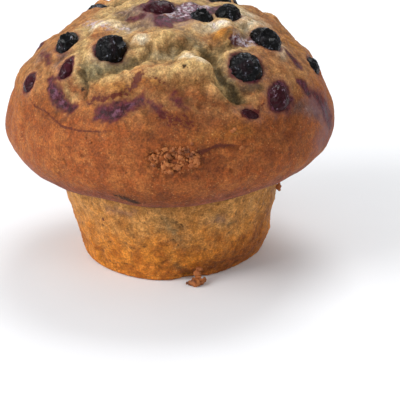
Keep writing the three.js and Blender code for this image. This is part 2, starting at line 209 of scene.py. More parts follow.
@dataclass(frozen=True)
class CakeForm:
    """The cake's sizes, and where its crust is torn, ridged and lumpy."""

    cap_radius: float = 49.0
    crown_height: float = 77.0
    widest_height: float = 40.6
    lip_radius: float = 38.0
    lip_height: float = 30.0
    lip_fullness: float = 0.48
    neck_radius: float = 33.4
    neck_height: float = 28.3
    foot_radius: float = 28.2
    foot_edge: float = 1.0
    foot_shift: float = 1.2
    cap_tilt: float = 0.015
    tilt_low: float = 5.0
    tilt_high: float = 30.0
    cap_zone: tuple[float, float] = (28.3, 34.0)
    top_zone: tuple[float, float] = (44.6, 56.6)
    torn_reach: float = 9.0
    cracks: tuple[Track, ...] = (
        Track(((-43, 67), (-40, 58), (-29, 53), (-14, 46), (4, 43), (22, 46)), 4.2, 1.4),
        Track(((22, 46), (26, 52), (23, 59), (29, 66)), 2.5, 2.8),
        Track(((22, 47), (34, 46), (46, 44), (60, 39)), 2.2, 2.2),
        Track(((-26, 50), (-36, 32), (-60, 24)), 2.6, 0.9),
        Track(((-60, 24), (-100, 26), (-138, 33)), 2.8, 1.8),
        Track(((122, 47), (134, 52), (148, 60), (160, 70)), 3.2, 3.0),
        Track(((-138, 33), (-165, 30), (160, 34), (132, 50)), 3.0, 2.6),
        Track(((-138, 33), (-128, 48), (-118, 58)), 3.2, 2.6),
    )
    ridges: tuple[Track, ...] = (
        Track(((-36, 67), (-31, 60), (-21, 55), (-11, 52), (-1, 54)), 2.8, 0.6),
        Track(((-1, 54), (6, 52), (15, 52), (20, 57), (18, 64)), 2.6, 1.2),
        Track(((34, 60), (30, 52), (36, 46), (52, 43), (70, 42)), 2.6, 1.2),
        Track(((122, 55), (133, 58), (143, 65)), 2.6, 1.8),
        Track(((-138, 41), (-145, 52), (-141, 60)), 2.6, 1.2),
    )
    lumps: tuple[Spot, ...] = (
        Spot((-8, 36), 4.0, 2.0),
        Spot((3, 35), 4.4, 2.1),
        Spot((41, 40), 5.2, 3.0),
        Spot((47, 32), 3.6, 2.2),
        Spot((-20, 38), 2.6, 1.7),
        Spot((-19, 44), 2.8, 1.0),
        Spot((-10, 43), 2.2, 0.6),
        Spot((13, 50), 6.6, 2.5),
        Spot((8, 46), 2.8, 1.1),
        Spot((19, 62), 2.4, 1.4),
        Spot((11, 62), 3.2, 1.0),
        Spot((79, 51), 3.4, 1.1),
        Spot((152, 44), 5.0, 2.4),
        Spot((141, 41), 3.4, 2.0),
        Spot((-141, 37), 3.6, 2.2),
        Spot((-160, 34), 4.4, 2.4),
        Spot((-146, 55), 3.4, 1.8),
    )
    mounds: tuple[Spot, ...] = (
        Spot((-53, 20), 7.5, 1.2),
        Spot((112, 46), 5.0, 0.9),
        Spot((38, 6), 6.5, 1.6),
        Spot((-8, 60), 4.0, 1.2),
        Spot((52, 55), 12.0, 1.6),
        Spot((-52, 52), 10.0, 0.8),
        Spot((160, 22), 6.0, 2.6),
        Spot((-160, 16), 5.5, 2.2),
        Spot((-150, 60), 7.0, 1.6),
        Spot((176, 50), 8.0, 2.0),
    )
    swells: tuple[Swell, ...] = (
        Swell(0, 29, 24, 9, 0, -2.0),
        Swell(-48, 29, 12, 9, 0, -0.7),
        Swell(-88, 23, 6, 6, 1.3, 0),
        Swell(52, 0, 18, 4.2, -2.9, 0),
        Swell(-75, 2, 16, 9, -0.7, 0),
        Swell(10, 0, 4, 3.5, -2.2, 0),
        Swell(90, 16, 12, 12, -0.6, 0),
        Swell(-15, 0.5, 9, 9, 0.6, 0),
        Swell(96, 62, 11, 11, -1.9, 0),
        Swell(-104, 66, 10, 10, -1.3, 0),
    )
    pit_at: Place = (1, 85)
    pit_half_width: float = 7.5
    pit_half_height: float = 4.0
    pit_depth: float = 1.0

    @property
    def dome_height(self) -> float:
        """Height of the dome over the cap's widest part."""
        return self.crown_height - self.widest_height

    def on_dome(self, at: Place) -> np.ndarray:
        """The smooth dome's point at a place."""
        turn = math.radians(at[0])
        slope = math.atan(math.tan(math.radians(at[1])) * self.dome_height / self.cap_radius)
        reach = self.cap_radius * math.sin(slope)
        height = self.widest_height + self.dome_height * math.cos(slope)
        return np.array((reach * math.sin(turn), -reach * math.cos(turn), height))

    def on_wall(self, azimuth: float, height: float) -> np.ndarray:
        """The smooth body's point below the cap's widest part, at an azimuth and a height."""
        outline = self.half_outline()
        radius = float(np.interp(height, outline[:, 1], outline[:, 0]))
        turn = math.radians(azimuth)
        return np.array((radius * math.sin(turn), -radius * math.cos(turn), height))

    def dome_normal(self, point: np.ndarray) -> np.ndarray:
        """The smooth dome's outward direction at one of its points."""
        across, up = self.cap_radius**2, self.dome_height**2
        out = np.array((point[0] / across, point[1] / across, (point[2] - self.widest_height) / up))
        return out / np.linalg.norm(out)

    def segments_of(self, path: Sequence[Place]) -> np.ndarray:
        """A path over the dome, rounded through its places.

        Args:
            path: Its places.

        Returns:
            The ends of short segments, as an array of segment, end and coordinate.
        """
        spots = np.array([self.on_dome(at) for at in path])
        spots = np.vstack((2 * spots[0] - spots[1], spots, 2 * spots[-1] - spots[-2]))
        line = []
        for i in range(1, len(spots) - 2):
            start, end = spots[i], spots[i + 1]
            leave, arrive = (end - spots[i - 1]) / 2, (spots[i + 2] - start) / 2
            for t in (0.0, 1 / 3, 2 / 3):
                bend = -3 * start + 3 * end - 2 * leave - arrive
                twist = 2 * start - 2 * end + leave + arrive
                line.append(start + t * (leave + t * (bend + t * twist)))
        line.append(spots[-2])
        return np.stack((np.array(line[:-1]), np.array(line[1:])), axis=1)

    def distance_to(self, path: Sequence[Place], points: np.ndarray) -> np.ndarray:
        """Distance from each point to a path over the dome."""
        nearest = np.full(len(points), np.inf)
        for start, end in self.segments_of(path):
            along = end - start
            share = np.clip((points - start) @ along / max(along @ along, 1e-12), 0.0, 1.0)
            nearest = np.minimum(nearest, length_of(points - start - share[:, None] * along))
        return nearest

    def relief(self, points: np.ndarray) -> np.ndarray:
        """How far the surface stands out from the smooth body at each of its points."""
        on_cap = smoothstep(points[:, 2], *self.cap_zone)
        on_top = smoothstep(points[:, 2], *self.top_zone)
        out = np.zeros(len(points))
        tear = np.full(len(points), np.inf)
        for crack in self.cracks:
            distance = self.distance_to(crack.path, points)
            tear = np.minimum(tear, distance)
            out -= crack.amount * bell(distance, crack.reach)
        for ridge in self.ridges:
            out += ridge.amount * bell(self.distance_to(ridge.path, points), ridge.reach)
        for lump in self.lumps:
            out += lump.amount * knob(length_of(points - self.on_dome(lump.at)), lump.reach)
        for mound in self.mounds:
            out += mound.amount * bell(length_of(points - self.on_dome(mound.at)), mound.reach)
        torn = 1.0 - smoothstep(tear, 0.0, self.torn_reach)
        # Bumps of four widths, each times its height here.
        out += Waves.at(points, 9.0) * (0.5 * on_cap + 0.9 * on_top)
        out += Waves.at(points, 4.2) * (0.2 * on_cap + 0.45 * torn * on_top)
        out += Waves.at(points, 6.5) * 0.5 * (1.0 - on_cap)
        out += self.in_pit(points) * (Waves.at(points, 2.1) * 1.2 - self.pit_depth)
        return out * smoothstep(points[:, 2], 0.0, 2 * self.foot_edge)

    def in_pit(self, points: np.ndarray) -> np.ndarray:
        """Share of each point that lies in the crumbly pit of the cap's front."""
        middle = self.on_dome(self.pit_at)
        across = (points[:, 0] - middle[0]) / self.pit_half_width
        up = (points[:, 2] - middle[2]) / self.pit_half_height
        return np.where(points[:, 1] < 0, bell(np.hypot(across, up), 1.0), 0.0)

    def tear_distance(self, points: np.ndarray) -> np.ndarray:
        """Distance from each point to the nearest crack."""
        return np.min([self.distance_to(crack.path, points) for crack in self.cracks], axis=0)

    def lean(self, points: np.ndarray) -> np.ndarray:
        """Leans the turned body, and moves it to the part's frame.

        Args:
            points: Points of the turned body, with their relief.

        Returns:
            The same points on the leaning body.
        """
        x, y, z = points.T
        from_axis = np.hypot(x, y)
        off_axis = smoothstep(from_axis, 0.0, self.foot_radius / 2)
        off_floor = smoothstep(z, 0.0, self.tilt_low)
        out, up = np.zeros(len(points)), np.zeros(len(points))
        for swell in self.swells:
            turn = math.radians(swell.azimuth)
            aside = np.hypot(x - from_axis * math.sin(turn), y + from_axis * math.cos(turn))
            share = bell(np.hypot(aside / swell.half_width, (z - swell.height) / swell.half_height), 1.0)
            out += share * swell.outward * off_axis
            up += share * swell.upward * off_floor
        wider = 1.0 + out / np.where(from_axis > 0, from_axis, 1.0)
        rise = self.cap_tilt * np.clip((z - self.tilt_low) / (self.tilt_high - self.tilt_low), 0.0, 1.0)
        shift = self.foot_shift * np.clip(1.0 - z / self.widest_height, 0.0, 1.0)
        return np.stack((x * wider + shift, y * wider, z + up + rise * x), axis=1) + OFF_AXIS

    def half_outline(self) -> np.ndarray:
        """The turned half outline, from the middle of the foot up to the crown, as radius and height."""
        quarter = np.linspace(0.0, math.pi / 2, ARC_POINTS)
        edge = self.foot_radius - self.foot_edge
        t = np.linspace(0.0, 1.0, ARC_POINTS)
        turn_in, turn_up, end = 3 * (1 - t) ** 2 * t, 3 * (1 - t) * t**2, t**3
        lip_across = (self.cap_radius - self.lip_radius) * (self.lip_fullness * turn_in + turn_up + end)
        lip_rise = (self.widest_height - self.lip_height) * ((1 - self.lip_fullness) * turn_up + end)
        dome_rise = self.dome_height * np.sin(quarter)
        pieces = (
            np.array(((0.0, 0.0), (edge, 0.0))),
            np.stack((edge + self.foot_edge * np.sin(quarter), self.foot_edge * (1 - np.cos(quarter))), 1),
            np.array(((self.neck_radius, self.neck_height), (self.lip_radius, self.lip_height))),
            np.stack((self.lip_radius + lip_across, self.lip_height + lip_rise), 1),
            np.stack((self.cap_radius * np.cos(quarter), self.widest_height + dome_rise), 1),
        )
        path = np.vstack(pieces)
        along = np.concatenate(([0.0], np.cumsum(length_of(np.diff(path, axis=0)))))
        even = np.linspace(0.0, along[-1], OUTLINE_POINTS)
        return np.stack((np.interp(even, along, path[:, 0]), np.interp(even, along, path[:, 1])), axis=1)


FORM = CakeForm()


# ---- Mesh helpers ----


def deselect_all() -> None:
    """Leaves object mode with nothing selected."""
    if bpy.context.object and bpy.context.object.mode != "OBJECT":
        bpy.ops.object.mode_set(mode="OBJECT")
    bpy.ops.object.select_all(action="DESELECT")


def triples_in(items: bpy.types.bpy_prop_collection, name: str) -> np.ndarray:
    """One property of all items of a mesh, three numbers to each."""
    flat = np.zeros(len(items) * 3)
    items.foreach_get(name, flat)
    return flat.reshape(-1, 3)


def points_of(piece: bpy.types.Object) -> np.ndarray:
    """A mesh's vertices, as stored."""
    return triples_in(piece.data.vertices, "co")


def set_points(piece: bpy.types.Object, points: np.ndarray) -> None:
    """Moves a mesh's vertices."""
    piece.data.vertices.foreach_set("co", points.reshape(-1))
    piece.data.update()


def normals_of(piece: bpy.types.Object) -> np.ndarray:
    """A mesh's vertex normals."""
    return triples_in(piece.data.vertex_normals, "vector")


def set_share(piece: bpy.types.Object, name: str, values: np.ndarray) -> None:
    """Stores one number for each vertex, for a finish to read."""
    attribute = piece.data.attributes.new(name, "FLOAT", "POINT")
    attribute.data.foreach_set("value", values.astype(np.float32))


def hollows(piece: bpy.types.Object, scale: float, rounds: int) -> np.ndarray:
    """How hollow a mesh is at each vertex.

    Args:
        piece: The mesh.
        scale: Depth in millimetres that counts as 1.
        rounds: How far round each vertex it looks, in steps along edges.

    Returns:
        Positive numbers in hollows and negative ones on crests.
    """
    points, normals = points_of(piece), normals_of(piece)
    edges = np.zeros(len(piece.data.edges) * 2, np.int64)
    piece.data.edges.foreach_get("vertices", edges)
    a, b = edges.reshape(-1, 2).T
    count = np.bincount(a, minlength=len(points)) + np.bincount(b, minlength=len(points))
    mean = points.copy()
    for _ in range(rounds):
        total = np.zeros_like(mean)
        for i in range(3):
            total[:, i] = np.bincount(a, mean[b, i], len(points)) + np.bincount(b, mean[a, i], len(points))
        mean = 0.5 * mean + 0.5 * total / count[:, None]
    return ((mean - points) * normals).sum(axis=1) / (scale * MM)


def shade_smooth(piece: bpy.types.Object) -> None:
    """Shades a whole mesh smoothly."""
    piece.data.polygons.foreach_set("use_smooth", np.ones(len(piece.data.polygons), bool))
    piece.data.update()


def even_ball(name: str, cuts: int) -> bpy.types.Object:
    """A unit sphere of even squares, grown from a cube.

    Args:
        name: The new piece's name.
        cuts: How many times each edge of the cube is cut.

    Returns:
        The sphere.
    """
    deselect_all()
    bpy.ops.mesh.primitive_cube_add(size=2.0)
    ball = bpy.context.object
    ball.name = ball.data.name = name
    bpy.ops.object.mode_set(mode="EDIT")
    bpy.ops.mesh.select_all(action="SELECT")
    bpy.ops.mesh.subdivide(number_cuts=cuts)
    bpy.ops.object.mode_set(mode="OBJECT")
    spots = np.tan(points_of(ball) * math.pi / 4)
    set_points(ball, spots / length_of(spots)[:, None])
    return ball


def round_ball(name: str, subdivisions: int) -> bpy.types.Object:
    """A unit sphere of triangles."""
    deselect_all()
    bpy.ops.mesh.primitive_ico_sphere_add(subdivisions=subdivisions, radius=1.0)
    ball = bpy.context.object
    ball.name = ball.data.name = name
    return ball


def finish_piece(piece: bpy.types.Object, material: bpy.types.Material) -> None:
    """Dresses a piece, and lets it ride with the part."""
    piece.data.materials.clear()
    piece.data.materials.append(material)
    shade_smooth(piece)
    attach(piece, "root")
    log.info("%s: %d faces", piece.name, len(piece.data.polygons))


# ---- Writing a finish ----

Socket = bpy.types.NodeSocket
Feed = Socket | float | tuple


def tint(code: str) -> tuple[float, float, float, float]:
    """A colour as a painter's #rrggbb code, made linear for a shader."""
    parts = [int(code[i : i + 2], 16) / 255 for i in (1, 3, 5)]
    linear = [c / 12.92 if c <= 0.04045 else ((c + 0.055) / 1.055) ** 2.4 for c in parts]
    return (*linear, 1.0)


class Recipe:
    """Writes one material's nodes."""

    def __init__(self, name: str) -> None:
        """Starts an empty principled material."""
        self.material = bpy.data.materials.new(name)
        self.material.use_nodes = True
        self.tree = self.material.node_tree
        self.shader = self.tree.nodes["Principled BSDF"]
        self.place = self.tree.nodes.new("ShaderNodeTexCoord").outputs["Object"]

    def _feed(self, target: Socket, value: Feed) -> None:
        """Links a socket, or sets its own value."""
        if isinstance(value, Socket):
            self.tree.links.new(value, target)
        else:
            target.default_value = value

    def _node(self, kind: str, feeds: dict[int | str, Feed], **settings: str | bool) -> bpy.types.Node:
        """A new node.

        Args:
            kind: Its type, without the prefix that all share.
            feeds: What goes into its sockets, by their names or numbers.
            **settings: Its other settings.

        Returns:
            The node, set and fed.
        """
        node = self.tree.nodes.new(f"ShaderNode{kind}")
        for name, value in settings.items():
            setattr(node, name, value)
        for name, value in feeds.items():
            self._feed(node.inputs[name], value)
        return node

    def set(self, name: str, value: Feed) -> None:
        """Feeds or sets one of the shader's own sockets."""
        self._feed(self.shader.inputs[name], value)

    def share(self, name: str) -> Socket:
        """A number stored on the mesh."""
        return self._node("Attribute", {}, attribute_name=name).outputs["Fac"]

    def height(self) -> Socket:
        """The height over the floor, in metres."""
        return self._node("SeparateXYZ", {0: self.place}).outputs["Z"]

    def stretched(self, along_z: float) -> Socket:
        """The place, with heights scaled, for a pattern that is longer one way."""
        return self._node("Mapping", {"Vector": self.place, "Scale": (1.0, 1.0, along_z)}).outputs["Vector"]

    def noise(
        self, size: float, detail: float = 3.0, rough: float = 0.55, where: Socket | None = None
    ) -> Socket:
        """Cloudy noise with bumps of a size in millimetres.

        Args:
            size: The broadest bumps' width.
            detail: How many finer layers it has.
            rough: How strong they are.
            where: The place to read it at, or the piece's own.

        Returns:
            Values round a half.
        """
        feeds = {"Vector": where or self.place, "Scale": 1.0 / (size * MM)}
        feeds |= {"Detail": detail, "Roughness": rough}
        return self._node("TexNoise", feeds).outputs["Fac"]

    def cells(self, size: float) -> Socket:
        """Distance to the middle of scattered cells of a size in millimetres."""
        feeds = {"Vector": self.place, "Scale": 1.0 / (size * MM)}
        return self._node("TexVoronoi", feeds).outputs["Distance"]

    def maths(self, operation: str, first: Feed, second: Feed) -> Socket:
        """One sum."""
        return self._node("Math", {0: first, 1: second}, operation=operation).outputs[0]

    def times(self, product: Feed, *factors: Feed) -> Feed:
        """The product of all its inputs."""
        for factor in factors:
            product = self.maths("MULTIPLY", product, factor)
        return product

    def span(self, value: Socket, low: float, high: float, start: float = 0.0, end: float = 1.0) -> Socket:
        """Soft step from one value to another, as the input goes from low to high."""
        feeds = {"Value": value, "From Min": low, "From Max": high, "To Min": start, "To Max": end}
        return self._node("MapRange", feeds, interpolation_type="SMOOTHSTEP").outputs["Result"]

    def ragged(self, share: Socket, noise: Socket, swing: float, soft: float, edge: float = 0.5) -> Socket:
        """A stored share with its edge broken up.

        Args:
            share: The share, which is a half on its edge.
            noise: What breaks it up, round a half.
            swing: How far the edge wanders.
            soft: Half width of the edge itself.
            edge: The share at which the edge lies.

        Returns:
            The share with a ragged edge.
        """
        moved = self.maths("ADD", share, self.times(self.maths("SUBTRACT", noise, 0.5), swing))
        return self.span(moved, edge - soft, edge + soft)

    def scaled(self, colour: Socket, factor: Feed) -> Socket:
        """A colour made lighter or darker."""
        return self._node("VectorMath", {0: colour, "Scale": factor}, operation="SCALE").outputs[0]

    def blend(self, share: Feed, first: Feed, second: Feed) -> Socket:
        """Mixes two colours by a share."""
        feeds = {0: share, 6: first, 7: second}
        return self._node("Mix", feeds, data_type="RGBA", clamp_factor=True).outputs[2]

    def tones(self, share: Feed, shades: Sequence[str]) -> Socket:
        """Mixes the first two of some shades by a share."""
        return self.blend(share, tint(shades[0]), tint(shades[1]))

    def laid(self, colour: Socket, shade: str, *shares: Feed) -> Socket:
        """A colour with a shade over it, as strong as the product of its shares."""
        return self.blend(self.times(*shares), colour, tint(shade))

    def bump(self, height: Socket, depth: float, under: Socket | None = None) -> Socket:
        """Fine relief.

        Args:
            height: Its height from 0 to 1.
            depth: How high 1 is, in millimetres.
            under: Relief that it adds to.

        Returns:
            The bent normal.
        """
        feeds = {"Height": height, "Distance": depth * MM}
        if under is not None:
            feeds["Normal"] = under
        return self._node("Bump", feeds).outputs["Normal"]

    def soften(self, weight: float, depth: float) -> None:
        """Lets some light sink in, to a depth in millimetres, and come out redder."""
        self.set("Subsurface Weight", weight)
        self.set("Subsurface Radius", (1.0, 0.5, 0.25))
        self.set("Subsurface Scale", depth * MM)


# ---- Finishes ----


class Coat(Enum):
    """What lies over the crust's own brown. Each has its share on the cake's mesh."""

    LIP = "lip"
    GOLD = "gold"
    TOAST = "toast"
    BROWN = "brown"
    PALE = "pale"
    CREAM = "cream"
    DAMP = "damp"
    # Painted shade.
    SHADE = "shade"
    MAUVE = "mauve"
    BLUSH = "blush"
    JUICE = "juice"
    RED = "red"
    LINE = "dark_line_and_crease_shade"
    CHAR_AND_PIT_SHADE = "char_and_pit_shade"
    SUGAR = "sugar"


@dataclass(frozen=True)
class Layer:
    """How one coat is laid on: its shades, how soft its edge is and how far it wanders, and its cover."""

    coat: Coat
    shades: tuple[str, str]
    soft: float
    swing: float
    cover: float = 1.0


@dataclass(frozen=True)
class CrustFinish:
    """Baked crust: reddish brown band, golden top, pale torn crumb, a paler stump, juice and sugar."""

    band: tuple[str, str, str] = ("#8f4b22", "#a15f2f", "#74391b")
    stump_low: tuple[str, str] = ("#c87c2c", "#a45d1e")
    stump_high: tuple[str, str] = ("#cb9251", "#b57b3e")
    layers: tuple[Layer, ...] = (
        Layer(Coat.LIP, ("#8b4e3d", "#743b2a"), 0.5, 0.4, 0.85),
        Layer(Coat.GOLD, ("#a87545", "#8b5932"), 0.45, 0.6),
        Layer(Coat.PALE, ("#bf9f6a", "#a28053"), 0.4, 0.7),
        Layer(Coat.TOAST, ("#b47a30", "#965b1d"), 0.4, 0.6),
        Layer(Coat.BROWN, ("#693315", "#83461e"), 0.4, 0.9, 0.88),
        Layer(Coat.CREAM, ("#d8ccb2", "#c2ad88"), 0.4, 0.6),
        Layer(Coat.MAUVE, ("#78625c", "#4d3a38"), 0.45, 0.8, 0.9),
        Layer(Coat.DAMP, ("#7b7154", "#625739"), 0.45, 0.7, 0.9),
        # Painted shade.
        Layer(Coat.SHADE, ("#443620", "#574529"), 0.4, 0.6, 0.9),
    )
    blush: str = "#7d5a60"
    juice: tuple[str, str] = ("#2a0914", "#561d2c")
    juice_rim: str = "#5f2624"
    # Painted sheen: pale lavender laid inside the juice stains, standing in for their highlights.
    painted_sheen: str = "#87647e"
    red: str = "#521a14"
    # Dark lines: the batter's dip, and partly painted shade in the seam and cracks.
    line: str = "#52231a"
    # Burnt spots, and painted shade in pits and pores.
    char_and_pit_shade: str = "#2a1a10"
    freckle: str = "#552811"
    # Pale specks of sugar, partly painted glints.
    speck: str = "#e0b070"
    pore: str = "#6a4527"
    sugar: tuple[str, str] = ("#a9959f", "#d6ccd4")
    roughness: tuple[float, float] = (0.52, 0.74)
    wetness: float = 0.2
    specular: float = 0.16

    def make(self) -> bpy.types.Material:
        """The material."""
        r = Recipe("baked_crust")
        blotch, edges = r.noise(4.2, 4, 0.6), r.noise(1.8, 4, 0.7)
        grain, dust = r.noise(1.3, 3, 0.6), r.noise(0.5, 2, 0.6)
        colour = r.tones(r.span(blotch, 0.38, 0.66), self.band)
        colour = r.laid(colour, self.band[2], r.span(r.noise(15, 3), 0.5, 0.75))
        colour = r.blend(r.share("stump"), colour, self._stump(r, blotch))
        patches = r.span(r.noise(2.4, 4, 0.65), 0.36, 0.64)
        for layer in self.layers:
            share = r.ragged(r.share(layer.coat.value), edges, layer.swing, layer.soft)
            colour = r.blend(r.times(share, layer.cover), colour, r.tones(patches, layer.shades))
        colour = self._freckled(r, colour)
        # Painted shade and light: darker in the surface's hollows, lighter on its crests.
        colour = r.scaled(colour, r.span(r.share("hollow"), -0.7, 0.7, 1.14, 0.66))
        colour = r.scaled(colour, r.span(grain, 0.28, 0.72, 0.76, 1.2))
        colour = r.scaled(colour, r.span(dust, 0.32, 0.7, 0.74, 1.3))
        colour, wet = self._juicy(r, colour, edges)
        grains = r.tones(r.span(dust, 0.4, 0.62), self.sugar)
        r.set("Base Color", r.blend(self._sugared(r, edges), colour, grains))
        dry = r.span(grain, 0.3, 0.7, *self.roughness)
        r.set("Roughness", r.maths("SUBTRACT", dry, r.times(wet, self.wetness)))
        r.set("Specular IOR Level", self.specular)
        r.soften(0.14, 1.4)
        r.set("Normal", r.bump(dust, 0.15, r.bump(r.noise(0.25, 2), 0.06, r.bump(grain, 0.3))))
        return r.material

    def _stump(self, r: Recipe, blotch: Socket) -> Socket:
        """The stump's colour: orange brown at the foot, paler under the lip."""
        low = r.tones(r.span(blotch, 0.35, 0.65), self.stump_low)
        streaks = r.noise(3.4, 4, 0.65, r.stretched(0.6))
        high = r.tones(r.span(streaks, 0.36, 0.62), self.stump_high)
        rise = r.times(r.height(), 1.0 / (FORM.lip_height * MM))
        return r.blend(r.ragged(rise, r.noise(6.0, 4, 0.65), 0.9, 0.3), low, high)

    def _freckled(self, r: Recipe, colour: Socket) -> Socket:
        """Sprinkles a colour with small dark and light freckles, and the stump with pores."""
        some, spots = r.span(r.noise(7.0, 2), 0.4, 0.65), r.span(r.cells(1.7), 0.24, 0.1)
        colour = r.laid(colour, self.freckle, some, spots, 0.55)
        # Light specks: sugar grains, partly painted glints.
        some, spots = r.span(r.noise(5.0, 2), 0.42, 0.6), r.span(r.cells(0.95), 0.3, 0.12)
        colour = r.laid(colour, self.speck, some, spots, 0.24)
        some, spots = r.span(r.noise(6.0, 3), 0.42, 0.62), r.span(r.cells(2.3), 0.28, 0.16)
        return r.laid(colour, self.pore, some, spots, r.share("stump"), 0.7)

    def _juicy(self, r: Recipe, colour: Socket, edges: Socket) -> tuple[Socket, Socket]:
        """Lays burnt spots, painted shade in pits, every kind of juice and a painted sheen inside it over a
        colour.

        Args:
            r: The recipe.
            colour: What it lies on.
            edges: Noise that breaks the edges up.

        Returns:
            The colour, and where it is wet.
        """
        blush = r.ragged(r.share(Coat.BLUSH.value), edges, 0.8, 0.5)
        colour = r.laid(colour, self.blush, blush, 0.65)
        # Dark lines, partly painted shade in the seam and cracks.
        line = r.ragged(r.share(Coat.LINE.value), r.noise(0.9, 3, 0.7), 0.6, 0.1)
        colour = r.laid(colour, self.line, line, 0.8)
        # Burnt spots, and painted shade in pits and pores.
        char_and_pit_shade = r.ragged(r.share(Coat.CHAR_AND_PIT_SHADE.value), r.noise(0.8, 3, 0.7), 0.8, 0.12)
        colour = r.laid(colour, self.char_and_pit_shade, char_and_pit_shade, 0.9)
        juice, fine = r.share(Coat.JUICE.value), r.noise(1.0, 4, 0.7)
        colour = r.laid(colour, self.juice_rim, r.ragged(juice, fine, 0.9, 0.2, 0.46), 0.75)
        inside = r.tones(r.span(r.noise(1.3, 3), 0.38, 0.62), self.juice)
        # Painted sheen: lavender clouds inside the juice.
        sheen_clouds = r.span(r.noise(2.6, 4, 0.75), 0.46, 0.66)
        inside = r.laid(inside, self.painted_sheen, sheen_clouds, r.span(juice, 0.6, 0.95, 0.0, 0.42))
        wet = r.ragged(juice, fine, 1.1, 0.26, 0.6)
        colour = r.blend(r.times(wet, 0.92), colour, inside)
        red = r.ragged(r.share(Coat.RED.value), fine, 1.5, 0.08, 0.62)
        return r.laid(colour, self.red, red, 0.9), r.maths("MAXIMUM", wet, red)

    def _sugared(self, r: Recipe, edges: Socket) -> Feed:
        """Where sugar shows: clusters of fine grains."""
        clusters = r.span(r.noise(1.2, 4, 0.7), 0.44, 0.6)
        return r.times(r.ragged(r.share(Coat.SUGAR.value), edges, 0.9, 0.3), clusters, 0.85)


@dataclass(frozen=True)
class BerryFinish:
    """Skin of a baked berry: blue black with purple patches, painted shade in its folds and painted glints on
    their crests.
    """

    name: str = "berry_skin"
    skin: tuple[str, str] = ("#030304", "#08090f")
    flush: str = "#1c0910"
    roughness: tuple[float, float] = (0.26, 0.5)
    # Painted glints: pale dabs on the folds' crests stand in for highlights.
    painted_glint: str = "#a4a8b8"
    # Painted shade, laid in the skin's folds.
    fold: str = "#050506"
    specular: float = 0.13

    def make(self) -> bpy.types.Material:
        """The material."""
        r = Recipe(self.name)
        blotch, hollow = r.noise(3.0, 3), r.share("hollow")
        colour = r.tones(r.span(blotch, 0.45, 0.7, 0.0, 0.6), self.skin)
        colour = r.laid(colour, self.flush, r.span(r.noise(4.5, 2), 0.54, 0.72, 0.0, 0.8))
        # Painted shade: the fold colour darkens the skin's hollows.
        colour = r.laid(colour, self.fold, r.span(hollow, 0.0, 0.4, 0.0, 0.7))
        # Painted glints: pale dabs on the crests, where highlights would fall.
        crest, dabs = r.span(hollow, 0.1, -0.25), r.span(r.noise(1.9, 4, 0.7), 0.57, 0.66)
        r.set("Base Color", r.laid(colour, self.painted_glint, crest, dabs, 0.74))
        r.set("Roughness", r.span(blotch, 0.35, 0.65, *self.roughness))
        r.set("Specular IOR Level", self.specular)
        r.set("Normal", r.bump(r.noise(0.7, 3), 0.09))
        return r.material


@dataclass(frozen=True)
class CrumbFinish:
    """Loose crumbs of torn cake."""

    name: str = "loose_crumb"
    shades: tuple[str, str, str] = ("#8d4c1e", "#ad6833", "#603012")
    roughness: tuple[float, float] = (0.6, 0.85)

    def make(self) -> bpy.types.Material:
        """The material."""
        r = Recipe(self.name)
        colour = r.tones(r.span(r.noise(1.6, 3), 0.35, 0.65), self.shades)
        r.set("Base Color", r.laid(colour, self.shades[2], r.span(r.noise(3.5, 2), 0.5, 0.7)))
        r.set("Roughness", r.span(r.noise(0.6, 2), 0.3, 0.7, *self.roughness))
        r.soften(0.12, 1.0)
        r.set("Normal", r.bump(r.noise(0.4, 3), 0.15))
        return r.material


@dataclass(frozen=True)
class FloorFinish:
    """Matt pale studio floor."""

    shades: tuple[str, str] = ("#eceef1", "#e4e6e9")
    roughness: float = 0.6
    specular: float = 0.3

    def make(self) -> bpy.types.Material:
        """The material."""
        r = Recipe("studio_floor")
        r.set("Base Color", r.tones(r.span(r.noise(60, 3), 0.3, 0.7, 0.0, 0.25), self.shades))
        r.set("Roughness", self.roughness)
        r.set("Specular IOR Level", self.specular)
        return r.material


# ---- The berries ----


class Kind(Enum):
    """How a berry came out of the oven."""

    WHOLE = "berry"
    BURST = "burst_berry"


@dataclass(frozen=True)
class Skin:
    """How a kind of berry is made: how often its sphere is subdivided, and how deep its folds are."""

    subdivisions: int
    fold: float


@dataclass(frozen=True)
class Crown:
    """The ring of a berry's blossom end: angles from its middle, and heights."""

    radius: float = 0.44
    width: float = 0.13
    rise: float = 0.42
    dish_radius: float = 0.42
    dish_depth: float = 0.7
    smooth: float = 0.4


SKINS = {Kind.WHOLE: Skin(6, 0.28), Kind.BURST: Skin(5, 0.18)}
CROWN = Crown()
BERRY_FINISHES = {
    Kind.WHOLE: BerryFinish(),
    # The burst berry's last colour is its painted glint.
    Kind.BURST: BerryFinish("burst_berry_skin", ("#2c070f", "#481120"), "#1a060c", (0.2, 0.45), "#a58a9c"),
}


